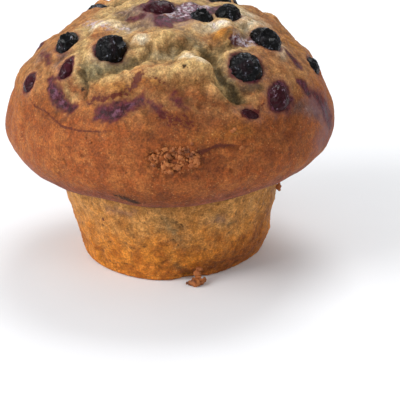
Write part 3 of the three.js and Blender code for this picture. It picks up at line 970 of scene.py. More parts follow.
@dataclass(frozen=True)
class Berry:
    """One berry in the crust: where, half sizes, how deep, its turn, and where its crown faces."""

    kind: Kind
    number: int
    at: Place
    half: Triple
    sunk: float
    turn: float
    crown: Triple | None = None

    @property
    def node(self) -> str:
        """The solid that this berry stands for."""
        return f"{self.kind.value}_{self.number:02d}"

    def seat(self) -> tuple[np.ndarray, np.ndarray]:
        """The berry's middle, and its own axes as the rows of a matrix."""
        spot = FORM.on_dome(self.at)
        out = FORM.dome_normal(spot)
        upright = Vector((0, 0, 1)).rotation_difference(Vector(out))
        about = Quaternion((0, 0, 1), math.radians(self.turn))
        axes = np.array((upright @ about).to_matrix()).T
        return spot + out * (FORM.relief(spot[None])[0] - self.sunk), axes

    def gap_to(self, points: np.ndarray) -> np.ndarray:
        """About how far each point is from the berry's skin, and negative inside."""
        middle, axes = self.seat()
        inner = ((points - middle) @ axes.T) / np.array(self.half)
        size = length_of(inner)
        return (size - 1.0) * length_of(points - middle) / np.maximum(size, 1e-6)

    def build(self) -> bpy.types.Object:
        """The berry's skin, with its folds and its crown."""
        piece = round_ball(f"{self.node}_skin", SKINS[self.kind].subdivisions)
        out = points_of(piece)
        out /= length_of(out)[:, None]
        spot = FORM.on_dome(self.at)
        middle, axes = self.seat()
        skin = out * np.array(self.half)
        skin *= (1.0 + 0.07 * Waves.at(skin + spot, 2.6))[:, None]
        skin += out * self._folds(skin, out, axes)[:, None]
        set_points(piece, FORM.lean(skin @ axes + middle) * MM)
        set_share(piece, "hollow", hollows(piece, 0.25, 3))
        return piece

    def _folds(self, skin: np.ndarray, out: np.ndarray, axes: np.ndarray) -> np.ndarray:
        """How far the folds and the crown move the skin.

        Args:
            skin: The smooth skin's points about the berry's middle.
            out: Its outward directions.
            axes: The berry's own axes.

        Returns:
            The move along each direction.
        """
        shift = self.number * 3.7
        warped = skin + 0.5 * np.stack([Waves.at(skin, 2.2, shift + i) for i in range(3)], axis=1)
        crease = np.maximum(0.0, 1.0 - np.abs(Waves.at(warped, 2.1, shift)) * 3.2)
        small = np.maximum(0.0, 1.0 - np.abs(Waves.at(warped, 1.0, shift)) * 2.6)
        move = -SKINS[self.kind].fold * crease**1.5 - 0.1 * small**1.5 + 0.03 * Waves.at(skin, 0.5, shift)
        if self.crown is None:
            return move
        facing = axes @ (np.array(self.crown) / np.linalg.norm(self.crown))
        angle = np.arccos(np.clip(out @ facing, -1.0, 1.0))
        side = np.cross(facing, (0.0, 0.0, 1.0) if abs(facing[2]) < 0.9 else (1.0, 0.0, 0.0))
        side /= np.linalg.norm(side)
        round_it = np.arctan2(out @ np.cross(facing, side), out @ side)
        lobes = 1.0 + 0.45 * np.cos(5 * round_it + shift) + 0.2 * np.cos(9 * round_it)
        ring = CROWN.rise * lobes * bell(angle - CROWN.radius, CROWN.width)
        dish = -CROWN.dish_depth * knob(angle, CROWN.dish_radius)
        return move * (1.0 - bell(angle, CROWN.smooth)) + ring + dish


BERRY_ROWS = {
    Kind.WHOLE: (
        ((-35, 44.5), (4.7, 4.6, 4.5), 0.7, 35, (0.55, -0.45, 0.75)),
        ((-68, 49), (4.4, 3.5, 3.8), 0.9, 60, (-0.2, -0.5, 0.85)),
        ((-127, 44.5), (4.2, 4.0, 4.0), 0.3, 10),
        ((41, 22.3), (3.7, 3.5, 3.3), 0.9, 0, (0.1, -0.2, 1.0)),
        ((67.5, 29), (4.0, 3.9, 4.2), 0.6, 40),
        ((61, 48.3), (5.1, 4.6, 4.3), 0.8, -25, (0.25, -0.6, 0.75)),
        ((36.3, 55.8), (5.3, 5.0, 4.8), 1.0, -10),
        ((84, 67.8), (4.4, 3.2, 3.2), 1.4, 80),
        ((118, 26), (4.0, 3.6, 3.4), 1.2, 15),
        ((150, 52), (4.8, 4.3, 3.9), 1.3, 20, (0.3, 0.6, 0.6)),
        ((-165, 38), (4.4, 4.0, 3.6), 1.1, 70),
        ((-124, 79), (4.6, 4.0, 3.7), 1.2, -30, (-0.8, 0.5, 0.3)),
        ((126, 76), (4.3, 3.8, 3.4), 1.3, 45),
        ((-150, 66), (5.0, 4.4, 4.0), 1.5, 0, (-0.3, 0.8, 0.5)),
        ((172, 24), (3.9, 3.5, 3.3), 1.0, 50),
    ),
    Kind.BURST: (
        ((-22, 13), (4.8, 3.6, 2.8), 1.0, 15),
        ((44.5, 69), (5.0, 4.0, 3.0), 1.2, 70),
        ((-68, 68.5), (3.5, 2.9, 2.1), 0.8, 80),
        ((-51, 57.7), (3.8, 2.1, 1.9), 0.7, 50),
        ((30.5, 71.8), (3.9, 1.6, 1.5), 0.7, 5),
        ((174, 70), (3.6, 2.6, 2.2), 1.1, 20),
    ),
}
BERRIES = tuple(Berry(kind, i, *row) for kind, rows in BERRY_ROWS.items() for i, row in enumerate(rows, 1))


# ---- The cake ----


@dataclass(frozen=True)
class Mark:
    """A coat over part of the crust: round spots of azimuth, level and radius, joined one to the next.

    A level is an angle from the crown, or on the wall a height.
    """

    coat: Coat
    spots: tuple[Triple, ...]
    fade: float = 1.5
    amount: float = 1.0
    on_wall: bool = False

    def share(self, points: np.ndarray) -> np.ndarray:
        """The coat's share at each point: a half on the mark's edge, and none at fade beyond it."""
        middles = [FORM.on_wall(*spot[:2]) if self.on_wall else FORM.on_dome(spot[:2]) for spot in self.spots]
        radii = [spot[2] for spot in self.spots]
        edge = length_of(points - middles[0]) - radii[0]
        for i in range(1, len(middles)):
            along = middles[i] - middles[i - 1]
            t = np.clip((points - middles[i - 1]) @ along / (along @ along), 0.0, 1.0)
            radius = radii[i - 1] + t * (radii[i] - radii[i - 1])
            edge = np.minimum(edge, length_of(points - middles[i - 1] - t[:, None] * along) - radius)
        return self.amount * np.clip(0.5 - 0.5 * edge / self.fade, 0.0, 1.0)


DOME_MARKS = {
    # Toasted edges of the tears.
    Coat.TOAST: (
        (((8, 34, 1.0),), 2.0, 0.7),
        (((31, 38, 1.2), (36, 40, 2.2), (38, 42, 1.2)), 2.0, 0.95),
        (((4, 58, 2.0), (11, 58, 2.4), (17, 59, 2.0)), 3.0, 0.4),
        (((-34, 61, 1.0), (-20, 60, 2.0), (-6, 58, 2.0)), 3.0, 0.6),
        (((94, 56, 1.0), (87, 58, 1.4), (85, 62, 1.0)), 2.0),
        (((-84, 66, 3.0), (-78, 72, 3.0)), 4.0, 0.35),
        (((10, 77, 2.0), (18, 77, 2.6), (28, 77, 3.0)), 4.0, 0.55),
    ),
    # Browner crust.
    Coat.BROWN: (
        # Painted shade under the berry at (36, 56).
        (((28, 61, 0.8), (32, 62, 1.3), (34, 65, 1.3)), 1.8),
        (((-52, 42, 1.4), (-48, 40, 0.6)), 2.0, 0.9),
        (((-15, 58, 0.8), (-7, 61, 1.3), (0, 61.5, 1.1), (9, 63, 2.0), (13, 66, 2.2)), 2.5, 0.88),
        (((-45, 62, 1.2), (-41, 63.5, 2.0), (-38, 64, 1.5)), 2.0),
        (((-10, 77, 3.0), (-3, 78, 3.4), (12, 72, 3.6), (18, 73, 3.0)), 4.0, 0.85),
        (((-54, 72, 1.8), (-48, 74, 2.6), (-42, 75, 1.8)), 3.0, 0.95),
        (((41, 76, 2.4), (49, 79, 3.0)), 4.0, 0.8),
        (((-49, 65, 1.2), (-44, 66, 1.6), (-40, 65, 1.3)), 2.0, 0.8),
        (((-7, 70, 1.8), (0, 71, 3.0), (9, 73, 3.2)), 3.5, 1.1),
        (((17, 67, 2.0), (26, 67, 2.2), (32, 69, 1.6)), 3.0, 0.9),
        (((47, 76, 2.5), (53, 75, 3.0), (58, 72, 2.0)), 3.0, 0.95),
        (((-33, 66, 0.8), (-24, 65, 1.2), (-14, 60, 1.0)), 2.0, 0.8),
        (((37, 68, 1.4), (41, 74, 2.0), (50, 79, 1.6)), 3.0, 0.8),
        (((-6, 83, 3.0), (3, 85, 5.5), (14, 84, 3.5)), 4.0, 1.0),
        (((28, 80, 4.0), (48, 84, 5.0)), 6.0, 0.6),
    ),
    # Pale crumb.
    Coat.PALE: (
        (((-74, 40, 3.0), (-62, 42, 3.0)), 3.0, 0.9),
        (((-58, 46, 3.0), (-46, 52, 3.0), (-28, 57, 2.0), (-18, 56, 1.2)), 3.5),
        (((-22, 42, 2.2), (-16, 43, 2.0)), 2.5),
        (((-2, 46, 1.5), (8, 48, 2.0), (16, 50, 1.6)), 2.5, 0.9),
        (((-8, 54, 1.6), (0, 53, 2.4), (8, 52, 3.2), (15, 53, 3.0)), 3.0, 0.95),
        (((-8, 38, 3.2), (2, 36, 3.0)), 3.0, 0.9),
        (((-48, 57, 1.4), (-44, 59, 1.8)), 2.5, 0.8),
    ),
    # The palest crumb.
    Coat.CREAM: (
        (((-21, 38, 0.9), (-17, 38, 1.4)), 1.6),
        (((8, 46, 0.9), (13, 49, 1.5), (16, 51, 1.0)), 1.8, 0.95),
        (((70, 34, 2.2), (84, 32, 2.4), (92, 38, 2.2)), 4.5, 0.85),
        (((-66, 37, 1.6), (-60, 35, 1.6)), 2.0, 0.95),
        (((-6, 45, 1.0), (2, 43, 1.4)), 2.4, 0.6),
        (((60, 56, 2.4), (70, 54, 2.0)), 3.0, 0.6),
        (((24, 31, 1.0), (30, 31, 1.4)), 2.0, 0.7),
        (((56, 35, 1.2), (64, 38, 2.0), (74, 40, 2.4), (86, 42, 2.0)), 4.0, 0.85),
        (((-60, 33, 1.6), (-44, 30, 1.4), (-30, 31, 1.0)), 3.0, 0.7),
        (((38, 32, 1.6), (42, 34, 2.2), (42, 37, 1.2)), 1.8, 1.1),
        (((-40, 51, 1.5), (-33, 51, 1.5)), 3.0, 0.55),
    ),
    # Crust that juice has greyed.
    Coat.MAUVE: (
        (((-84, 16, 2.0), (-60, 19, 2.6), (-30, 21, 2.8), (-10, 23, 2.2)), 3.0),
        (((-40, 28, 1.6), (-22, 27, 2.0)), 2.5, 0.75),
        (((-57, 58, 1.4), (-61, 54, 1.8)), 2.5, 0.8),
        (((-87, 24, 1.6), (-78, 22, 2.0), (-49, 23, 2.0)), 2.5, 0.9),
        (((52, 74, 1.6), (57, 76, 2.0), (64, 80, 2.4)), 2.8, 0.85),
        (((44, 42, 1.4), (52, 42, 1.6)), 2.2, 0.85),
        (((-72, 57, 1.2), (-76, 61, 1.6), (-82, 57, 1.6)), 2.5, 0.75),
        (((130, 30, 2.4), (160, 26, 2.0)), 3.0, 0.8),
        (((-150, 46, 2.0), (-160, 52, 2.4)), 3.0, 0.7),
    ),
    # Damp crumb.
    Coat.DAMP: (
        (((-43, 56, 1.4), (-36, 56, 2.6), (-29, 51, 2.0), (-22, 47, 1.2)), 2.5),
        (((-18, 45, 0.8), (-9, 45, 1.0), (2, 43, 0.8), (12, 41, 1.0)), 2.5, 0.7),
        (((13, 36, 1.8), (20, 40, 1.8), (26, 45, 1.2), (27, 50, 1.0)), 2.5, 0.9),
        (((24, 52, 1.0), (25, 57, 1.4), (27, 62, 1.6), (29, 66, 1.0)), 2.0),
        (((125, 48, 1.6), (134, 52, 2.0), (148, 60, 1.6)), 2.5),
        (((-138, 36, 1.4), (-165, 30, 2.0), (170, 30, 1.4)), 2.5, 0.9),
        (((-134, 42, 1.2), (-124, 52, 1.8)), 2.5, 0.9),
    ),
    # Painted shade: the darkest crumb deep in the tears, under lumps and berries, and in the stump's pores.
    Coat.SHADE: (
        (((2, 40, 0.3), (5, 39.5, 0.5), (9, 40, 0.3)), 1.4),
        (((25, 59, 0.3), (27, 62, 0.9), (29, 65, 0.6)), 1.8),
        (((-14, 39, 0.1), (-13, 42, 0.3)), 1.0),
        (((33, 41.5, 0.8), (37, 40.5, 1.2)), 1.8, 0.9),
        (((14, 22, 0.4), (24, 24, 0.6), (36, 25, 0.5)), 1.6),
        (((-38, 57, 0.4), (-34, 60, 0.4)), 1.2, 0.9),
        (((28, 44, 0.4), (38, 45, 0.5)), 1.4),
        (((31, 62, 1.0), (35, 63, 1.8), (38, 64, 1.2)), 1.8),
        (((20, 41, 0.4), (25, 43.5, 0.7)), 1.6, 0.9),
        (((-44, 55, 0.3), (-41, 58, 0.6), (-37, 61, 0.7), (-35, 64, 0.6)), 1.3),
        (((-20, 47, 0.4), (-17, 47, 0.5)), 1.0),
        (((-12, 41, 0.1), (-11, 44, 0.4)), 1.2, 0.9),
        (((128, 49, 0.4), (140, 56, 0.7), (150, 62, 0.4)), 1.8),
        (((-136, 37, 0.4), (-130, 46, 0.7)), 1.8),
    ),
    # Purple tinges.
    Coat.BLUSH: (
        (((64, 76, 3.0), (70, 82, 4.0), (72, 87, 3.4), (62, 90, 2.4)), 5.5, 1.1),
        (((-30, 22, 2.0), (10, 26, 2.0), (30, 24, 2.4)), 3.0, 0.8),
    ),
    # Juice that ran from the berries.
    Coat.JUICE: (
        (((-56, 63, 0.9), (-53, 65, 1.6), (-49, 67, 2.1),
          (-45, 69, 2.2), (-41, 70, 2.1), (-38, 70, 1.4)), 1.8),
        (((-27, 73, 0.9), (-24, 70, 2.5), (-20, 69.5, 2.8),
          (-16, 67, 2.2), (-12, 64.5, 1.8), (-10, 63, 1.0)), 2.4),
        (((-9, 64, 0.9), (-6, 66, 1.4), (-3, 68, 1.5), (-1, 69, 0.9)), 2.2, 0.85),
        (((1, 62.5, 1.6), (4, 64.5, 2.0), (6, 67, 1.4)), 3.0, 0.78),
        (((59, 67, 1.5), (61, 69.5, 2.2), (62, 73, 1.3)), 1.6),
        (((64, 72, 1.2), (68, 77, 2.2), (70, 82, 2.6), (73, 87, 2.0)), 2.6, 0.9),
        (((68, 56, 1.0), (68, 60, 1.7), (66, 63, 1.2)), 1.8, 0.95),
        (((69, 74, 0.8), (72, 79, 1.2), (76, 85, 0.9)), 1.6, 0.85),
        (((38, 43, 0.9), (42, 45, 0.6), (50, 44, 0.5), (56, 47, 0.7)), 1.2, 0.95),
        (((-93, 9, 2.0), (-27, 12, 2.6), (10, 14, 3.0), (60, 15, 2.6)),),
        (((-14, 23, 1.2), (-4, 25, 1.8), (2, 27, 1.0)), 1.4, 0.95),
        (((-50, 16, 1.4), (-30, 10, 1.8), (0, 8, 1.6)), 2.0, 0.95),
        (((-49, 25, 0.9), (-40, 24, 1.3), (-33, 22, 1.0)), 1.6, 0.95),
        (((22, 22, 0.5), (28, 23, 0.8)), 1.2, 0.95),
        (((39, 45, 0.6), (42, 43, 1.0)), 1.2, 0.95),
        (((-17, 20, 1.2), (-4, 22, 1.6), (8, 20, 1.6),
          (34, 19, 2.4), (62, 21, 2.6), (86, 24, 1.8)), 1.5, 1.1),
        (((45, 66, 1.0), (50, 71, 1.8), (47, 75, 0.8)), 1.5, 0.9),
        (((-80, 59, 0.8), (-72, 58, 1.3), (-64, 59, 1.0)), 2.2, 0.85),
        (((130, 60, 1.2), (138, 64, 1.7), (148, 66, 1.0)),),
        (((-170, 58, 1.0), (-176, 62, 1.6), (176, 65, 0.9)),),
        (((-104, 62, 1.0), (-110, 66, 1.6), (-116, 67, 1.2)),),
        (((-132, 74, 0.8), (-140, 73, 1.3), (-146, 72, 0.6)), 1.3, 0.9),
        (((108, 70, 0.8), (112, 73, 1.2)), 1.3, 0.9),
    ),
    # Red, where juice lies thin.
    Coat.RED: (
        (((27, 72, 0.6), (34, 71, 1.0), (37, 70, 0.6)), 1.2),
        (((-52, 42, 1.1), (-50, 38, 0.8)), 1.5, 0.72),
        (((-32, 67, 1.6), (-28, 65.5, 1.8), (-23, 64.5, 1.6), (-18, 62, 1.4)), 1.5, 0.8),
        (((-17, 60, 1.2), (-14.5, 58.5, 1.8), (-12.5, 56.5, 1.9), (-11, 54, 1.0)), 1.5, 0.88),
        (((-9, 56, 1.6), (-3, 57.5, 2.0), (1, 60, 1.4)), 2.5, 0.72),
        (((-6, 68, 1.6), (2, 71, 2.6), (8, 73, 2.4)), 3.0, 0.76),
        (((-12, 66, 1.2), (-8, 66, 1.0)), 2.5, 0.7),
        (((-47, 65, 0.8), (-42, 66, 1.2)), 2.0, 0.7),
        (((-44, 62, 1.0), (-40, 63.5, 1.4)), 2.0, 0.72),
        (((52, 74, 1.6), (57, 76, 2.0)), 3.0, 0.72),
        (((-83, 63, 0.8), (-87, 60, 1.2), (-89, 55, 0.9)), 1.6, 0.8),
    ),
    # The line where the crust dipped under the batter, and cracks in the band darkened partly with painted
    # shade.
    Coat.LINE: (
        (((-70, 71, 0.3), (-57, 74, 0.3), (-50, 74, 0.3), (-39, 77, 0.4),
          (-31, 77, 0.3), (-23, 76, 0.3), (-12, 75, 0.1)), 0.6),
        (((8, 83, 1.0), (12, 82, 0.7), (16, 81, 0.6), (20, 81, 0.4), (24, 82, 0.1)), 1.2),
        (((120, 77, 0.2), (132, 78, 0.4), (145, 77, 0.3), (160, 75, 0.4), (172, 76, 0.2)), 1.0),
        (((-100, 73, 0.2), (-112, 75, 0.4), (-122, 74, 0.2)), 1.0),
    ),
    # Burnt crumbs, and painted shade in pinholes, pits and fissures.
    Coat.CHAR_AND_PIT_SHADE: (
        (((-5, 83, 0.5), (-4, 84, 0.3)), 0.9, 0.95),
        (((7, 53, 0.5),), 0.9),
        (((-38, 62, 0.3), (-37, 63, 0.5)), 0.9),
    ),
    # Sugar.
    Coat.SUGAR: (
        (((-15, 16, 1.4), (-2, 18, 1.8), (12, 15, 1.8), (26, 18, 1.4)), 2.0, 0.95),
        (((44, 13, 2.0), (60, 15, 1.8), (84, 20, 1.0)), 1.8),
        (((-31, 12, 1.6), (10, 14, 2.0), (35, 15, 1.6)), 2.0),
        (((40, 31, 1.2), (43, 34, 1.5)), 1.6, 0.9),
        (((-48, 34, 0.8), (-43, 31, 1.2), (-33, 32, 0.8)), 1.6, 0.9),
        (((-82, 38, 1.0), (-70, 36, 1.8), (-54, 35, 1.4)), 2.0, 0.9),
        (((40, 43, 1.0), (48, 44, 1.4), (53, 46, 1.0)), 1.6),
    ),
}
WALL_MARKS = {
    # Darker near the foot, most on the stump's front right, and under the lip's front.
    Coat.BROWN: (
        (((-16, 34.0, 2.0), (-4, 34.5, 2.6), (8, 34.0, 2.0)), 4.0, 0.95),
        (((20, 3.0, 3.0), (40, 4.0, 4.0), (60, 6.0, 3.0)), 5.0, 0.95),
        (((28, 6.3, 2.4), (45, 7.0, 3.4), (60, 11.0, 3.4), (68, 22.0, 2.0)), 5.0, 0.85),
        (((-10, 5.0, 1.5), (12, 3.0, 2.0)), 3.0, 0.7),
        (((150, 4.0, 3.0), (-160, 5.0, 2.0)), 5.0, 0.7),
    ),
    Coat.DAMP: (
        (((-4, 21.5, 2.6), (2, 17.0, 3.2), (6, 13.0, 1.8)), 4.0, 0.62),
        (((25, 20.0, 1.6), (33, 18.5, 1.4)), 2.5, 0.62),
        (((160, 20.0, 2.0), (172, 17.0, 2.4)), 3.0, 0.7),
    ),
    # Painted shade in the stump's pores and near its foot.
    Coat.SHADE: (
        (((57, 20.7, 0.5), (54, 17.8, 0.4)), 1.2, 0.9),
        (((48, 15.6, 0.6),), 1.4, 0.85),
        (((-2, 8.4, 0.5), (4, 4.8, 1.0)), 2.0, 0.75),
        (((168, 18.0, 0.6), (176, 15.0, 0.4)), 1.2, 0.85),
    ),
    Coat.BLUSH: (
        (((-52, 33.5, 1.5), (-66, 35.5, 2.5)), 4.0, 0.6),
        (((27, 20.0, 1.0), (-34, 23.5, 1.0), (-21, 23.5, 0.8)), 2.0, 0.75),
        (((160, 21.0, 1.2), (172, 19.0, 1.4)), 2.0, 0.9),
        (((-118, 18.0, 1.4),), 2.0, 0.9),
    ),
    Coat.RED: (
        (((-39, 18.0, 0.8), (-38, 19.4, 0.5)), 1.0, 1.0),
    ),
    # Burnt spots under the lip, and painted shade in the stump's pores.
    Coat.CHAR_AND_PIT_SHADE: (
        (((-5, 23.6, 0.25), (-5, 22.4, 0.4)), 0.8, 0.85),
        (((-2, 20.4, 0.5),), 0.8, 0.85),
        (((5, 20.4, 0.5), (6, 19.4, 0.3)), 0.8, 0.85),
        (((8, 17.0, 0.45),), 0.8, 0.9),
        (((0, 14.8, 0.3), (2, 14.0, 0.2)), 0.8, 0.9),
        (((3, 12.8, 0.5),), 0.8, 0.85),
        (((-3, 12.2, 0.3),), 0.8, 0.85),
        (((-16, 33.6, 0.6), (-13, 33.2, 1.1), (-10, 32.9, 0.5)), 1.3, 0.9),
        (((-19, 34.2, 0.4), (-17, 33.8, 0.6)), 1.1, 0.9),
        (((5, 11.1, 0.4),), 0.8, 0.85),
        (((8, 16.6, 0.3),), 0.8, 0.8),
        (((14, 15.5, 0.25),), 0.8, 0.8),
        (((57, 19.6, 0.3), (55, 18.0, 0.2)), 0.8, 0.8),
        (((165, 16.0, 0.4),), 0.8, 0.85),
        (((-130, 21.0, 0.3),), 0.8, 0.85),
    ),
}
MARKS = tuple(
    Mark(coat, *row, on_wall=table is WALL_MARKS)
    for table in (DOME_MARKS, WALL_MARKS)
    for coat, rows in table.items()
    for row in rows
)

FISSURES = (
    Track(((-42, 57), (-38, 59), (-36, 62), (-34, 66)), 0.7, 0.8),
    Track(((-12, 40), (-11, 43), (-13, 45)), 0.7, 1.0),
    Track(((1, 41), (7, 41), (13, 41)), 0.9, 1.0),
    Track(((23, 53), (25, 57), (27, 62), (29, 66)), 1.0, 1.2),
    Track(((27, 41), (34, 45), (42, 45)), 0.9, 1.0),
    Track(((9, 83), (12, 82), (16, 81), (19, 81), (23, 82)), 0.8, 0.5),
    Track(((128, 49), (140, 56), (152, 63)), 1.0, 1.4),
    Track(((-136, 36), (-130, 46), (-122, 55)), 1.0, 1.4),
)

PINHOLES = (
    Spot((7, 53), 0.55, 1.0),
    Spot((12, 58), 0.4, 0.7),
    Spot((-35, 64), 0.6, 1.0),
    Spot((71, 38), 0.55, 0.9),
    Spot((-19, 47), 0.9, 1.1),
    Spot((-16, 47), 0.7, 0.9),
    Spot((-43, 57), 0.9, 1.0),
    Spot((-30, 85), 0.45, 0.6),
    Spot((-37, 88), 0.45, 0.6),
    Spot((21, 89), 0.4, 0.6),
    Spot((26, 80), 0.45, 0.6),
    Spot((-5, 83), 0.9, 1.0),
    Spot((128, 66), 0.5, 0.8),
    Spot((-172, 80), 0.5, 0.7),
)


@dataclass(frozen=True)
class BakedCake:
    """The whole cake, from its foot to its torn crown. Zones are heights or, on the crown, angles."""

    cuts: int = 127
    floor_density: float = 0.25
    stump_density: float = 0.95
    cap_density: float = 1.25
    bend: int = 17
    stump_zone: tuple[float, float] = (26.5, 29.0)
    stump_edge: tuple[float, float] = (27.8, 28.8)
    foot_zone: tuple[float, float] = (0.0, 1.2)
    torn_zone: tuple[float, float] = (1.5, 8.0)
    crown_zone: tuple[float, float] = (26.0, 46.0)
    lip_root: tuple[float, float] = (28.2, 28.8)
    lip_zone: tuple[float, float] = (30.5, 37.5)
    seam_zone: tuple[float, float] = (30.4, 32.4)
    gold_edge: float = 71.0
    pores: tuple[Triple, ...] = ((3.4, 0.0, 0.5), (2.0, 5.0, 0.32))
    rim_rise: float = 0.35
    rim_width: float = 0.9

    def build(self) -> bpy.types.Object:
        """The cake's surface, with its crags, crumb, pores and the shares of its coats."""
        piece = even_ball("baked_cake", self.cuts)
        body, out = self._smooth_body(points_of(piece))
        wander = smoothstep(body[:, 2], *FORM.top_zone)[:, None] * Waves.drift(body, 5.0)
        raised = body + out * FORM.relief(body + 0.8 * wander)[:, None]
        set_points(piece, FORM.lean(raised) * MM)
        for relief in (self._crumb(body, raised), self._grain(body, raised)):
            points = points_of(piece) + normals_of(piece) * relief[:, None] * MM
            points[:, 2] = np.maximum(points[:, 2], 0.0)
            set_points(piece, points)
        self._store_shares(piece, body, out)
        return piece

    def _smooth_body(self, directions: np.ndarray) -> tuple[np.ndarray, np.ndarray]:
        """Spreads a unit sphere over the smooth body.

        Args:
            directions: Points of the unit sphere.

        Returns:
            The body's points and its outward directions there.
        """
        outline = FORM.half_outline()
        steps = np.diff(outline, axis=0)
        width = (outline[1:, 0] + outline[:-1, 0]) / 2
        height = (outline[1:, 1] + outline[:-1, 1]) / 2
        density = np.where(height < FORM.lip_height, self.stump_density, self.cap_density)
        density = np.where(height < FORM.foot_edge / 2, self.floor_density, density)
        shares = np.concatenate(([0.0], np.cumsum(length_of(steps) * width * density)))
        across = np.stack((steps[:, 1], -steps[:, 0]), axis=1) / length_of(steps)[:, None]
        padded, even = np.pad(across, ((self.bend // 2,) * 2, (0, 0)), "edge"), np.ones(self.bend) / self.bend
        across = np.stack([np.convolve(padded[:, i], even, "valid") for i in (0, 1)], axis=1)
        share = (1.0 + directions[:, 2]) / 2 * shares[-1]
        middles = (shares[1:] + shares[:-1]) / 2
        radius, rise = (np.interp(share, shares, outline[:, i]) for i in (0, 1))
        outward, upward = (np.interp(share, middles, across[:, i]) for i in (0, 1))
        flat = np.maximum(np.hypot(directions[:, 0], directions[:, 1]), 1e-9)
        cos, sin = directions[:, 0] / flat, directions[:, 1] / flat
        body = np.stack((radius * cos, radius * sin, rise), axis=1)
        out = np.stack((outward * cos, outward * sin, upward), axis=1)
        return body, out / length_of(out)[:, None]

    def _crumb(self, body: np.ndarray, raised: np.ndarray) -> np.ndarray:
        """How far crumb, pores, fissures and the berries' rims move the surface.

        Args:
            body: The smooth body's points, where every place is known.
            raised: The same points with the crags' relief.

        Returns:
            The move along each vertex's normal.
        """
        z = body[:, 2]
        stump = 1.0 - smoothstep(z, *self.stump_zone)
        on_top = smoothstep(z, *FORM.top_zone)
        torn = (1.0 - smoothstep(FORM.tear_distance(body), *self.torn_zone)) * on_top
        move = on_top * (0.24 * Waves.at(raised, 3.0) + 0.13 * Waves.at(raised, 1.6, 4.0))
        move += torn * (0.3 * Waves.curds(raised, 2.4) + 0.16 * Waves.curds(raised, 1.3) - 0.2)
        move += stump * (0.24 * Waves.at(raised, 2.6) + 0.2 * Waves.at(raised, 1.4, 3.0))
        pit = FORM.in_pit(body)
        move += pit * (0.5 * Waves.curds(raised, 1.7, 2.0) + 0.35 * Waves.curds(raised, 1.0) - 0.4)
        for size, shift, depth in self.pores:
            away, own = Waves.pits(raised, size, shift)
            radius = size * (0.08 + 0.14 * own) * (1.0 + 0.5 * Waves.at(raised, 1.1))
            wanted = (own > 0.5) * (stump * 0.9 + torn * 0.6 + 0.3 * (own > 0.85))
            move -= depth * wanted * knob(away, radius)
        wander = 0.5 * Waves.at(body, 2.0, 9.0)
        for fissure in FISSURES:
            away = FORM.distance_to(fissure.path, body) + wander
            move -= fissure.amount * bell(away, fissure.reach)
        for hole in PINHOLES:
            move -= hole.amount * knob(length_of(body - FORM.on_dome(hole.at)), 1.5 * hole.reach)
        for berry in BERRIES:
            gap = berry.gap_to(body)
            move += self.rim_rise * bell(gap - self.rim_width, self.rim_width) * (gap > -1.0)
        return move * smoothstep(z, *self.foot_zone)

    def _grain(self, body: np.ndarray, raised: np.ndarray) -> np.ndarray:
        """How far the crust's fine grain moves the surface."""
        z = body[:, 2]
        rough = 0.6 + 0.7 * smoothstep(z, *FORM.top_zone) + 0.6 * (1.0 - smoothstep(z, *self.stump_zone))
        move = rough * (0.09 * Waves.at(raised, 1.7, 6.0) + 0.07 * Waves.at(raised, 1.0, 7.0))
        return move * smoothstep(z, *self.foot_zone)

    def _store_shares(self, piece: bpy.types.Object, body: np.ndarray, out: np.ndarray) -> None:
        """Stores each coat's share, the stump's, and how hollow the surface is.

        Args:
            piece: The cake.
            body: The smooth body's points.
            out: Its outward directions there.
        """
        z = body[:, 2]
        turn = np.degrees(np.arctan2(body[:, 0], -body[:, 1]))
        polar = np.degrees(np.arctan2(np.hypot(body[:, 0], body[:, 1]), z - FORM.widest_height))
        on_top = smoothstep(z, *FORM.top_zone)
        shares = {coat: np.zeros(len(body)) for coat in Coat}

        def add(coat: Coat, values: np.ndarray) -> None:
            """Lays more of a coat, where it is stronger than what is there."""
            shares[coat] = np.maximum(shares[coat], values)

        edge = self.gold_edge + 2.0 * np.sin(np.radians(3 * turn)) + 3.0 * Waves.at(body, 8.0)
        add(Coat.GOLD, np.clip(0.5 + (edge - polar) / 14.0, 0.0, 1.0))
        add(Coat.LIP, (1.0 - smoothstep(z, *self.lip_zone)) * smoothstep(z, *self.lip_root))
        add(Coat.PALE, 0.8 * np.clip(1.2 - FORM.tear_distance(body) / 6.0, 0.0, 1.0) * on_top)
        add(Coat.PALE, 0.85 * (1.0 - smoothstep(polar + 5.0 * Waves.at(body, 7.0), *self.crown_zone)))
        drift = Waves.drift(body, 4.6) + 0.5 * Waves.drift(body, 1.9, 5.0)
        wandered = body + drift - (drift * out).sum(axis=1)[:, None] * out
        for mark in MARKS:
            add(mark.coat, mark.share(body if mark.fade < 1.0 else wandered))
        uneven = Waves.at(body, 3.2, 2.0)
        for berry in BERRIES:
            gap = berry.gap_to(body)
            add(Coat.JUICE, np.clip(0.5 - (gap - 0.05 - 0.8 * uneven) / 2.6, 0.0, 1.0))
            add(Coat.BLUSH, 0.6 * np.clip(0.5 - (gap - 0.8) / 4.0, 0.0, 1.0))
        # The seam under the lip: a dark line, partly the crust's own colour and partly painted shade in the
        # crease where the lip meets the stump.
        seam = (z > FORM.neck_height) * (1.0 - smoothstep(z, *self.seam_zone))
        add(Coat.LINE, seam * (0.68 + 0.5 * Waves.at(body, 4.0)))
        for coat, values in shares.items():
            set_share(piece, coat.value, values)
        set_share(piece, "stump", 1.0 - smoothstep(z, *self.stump_edge))
        set_share(piece, "hollow", hollows(piece, 0.35, 10))


# ---- Crumbs ----


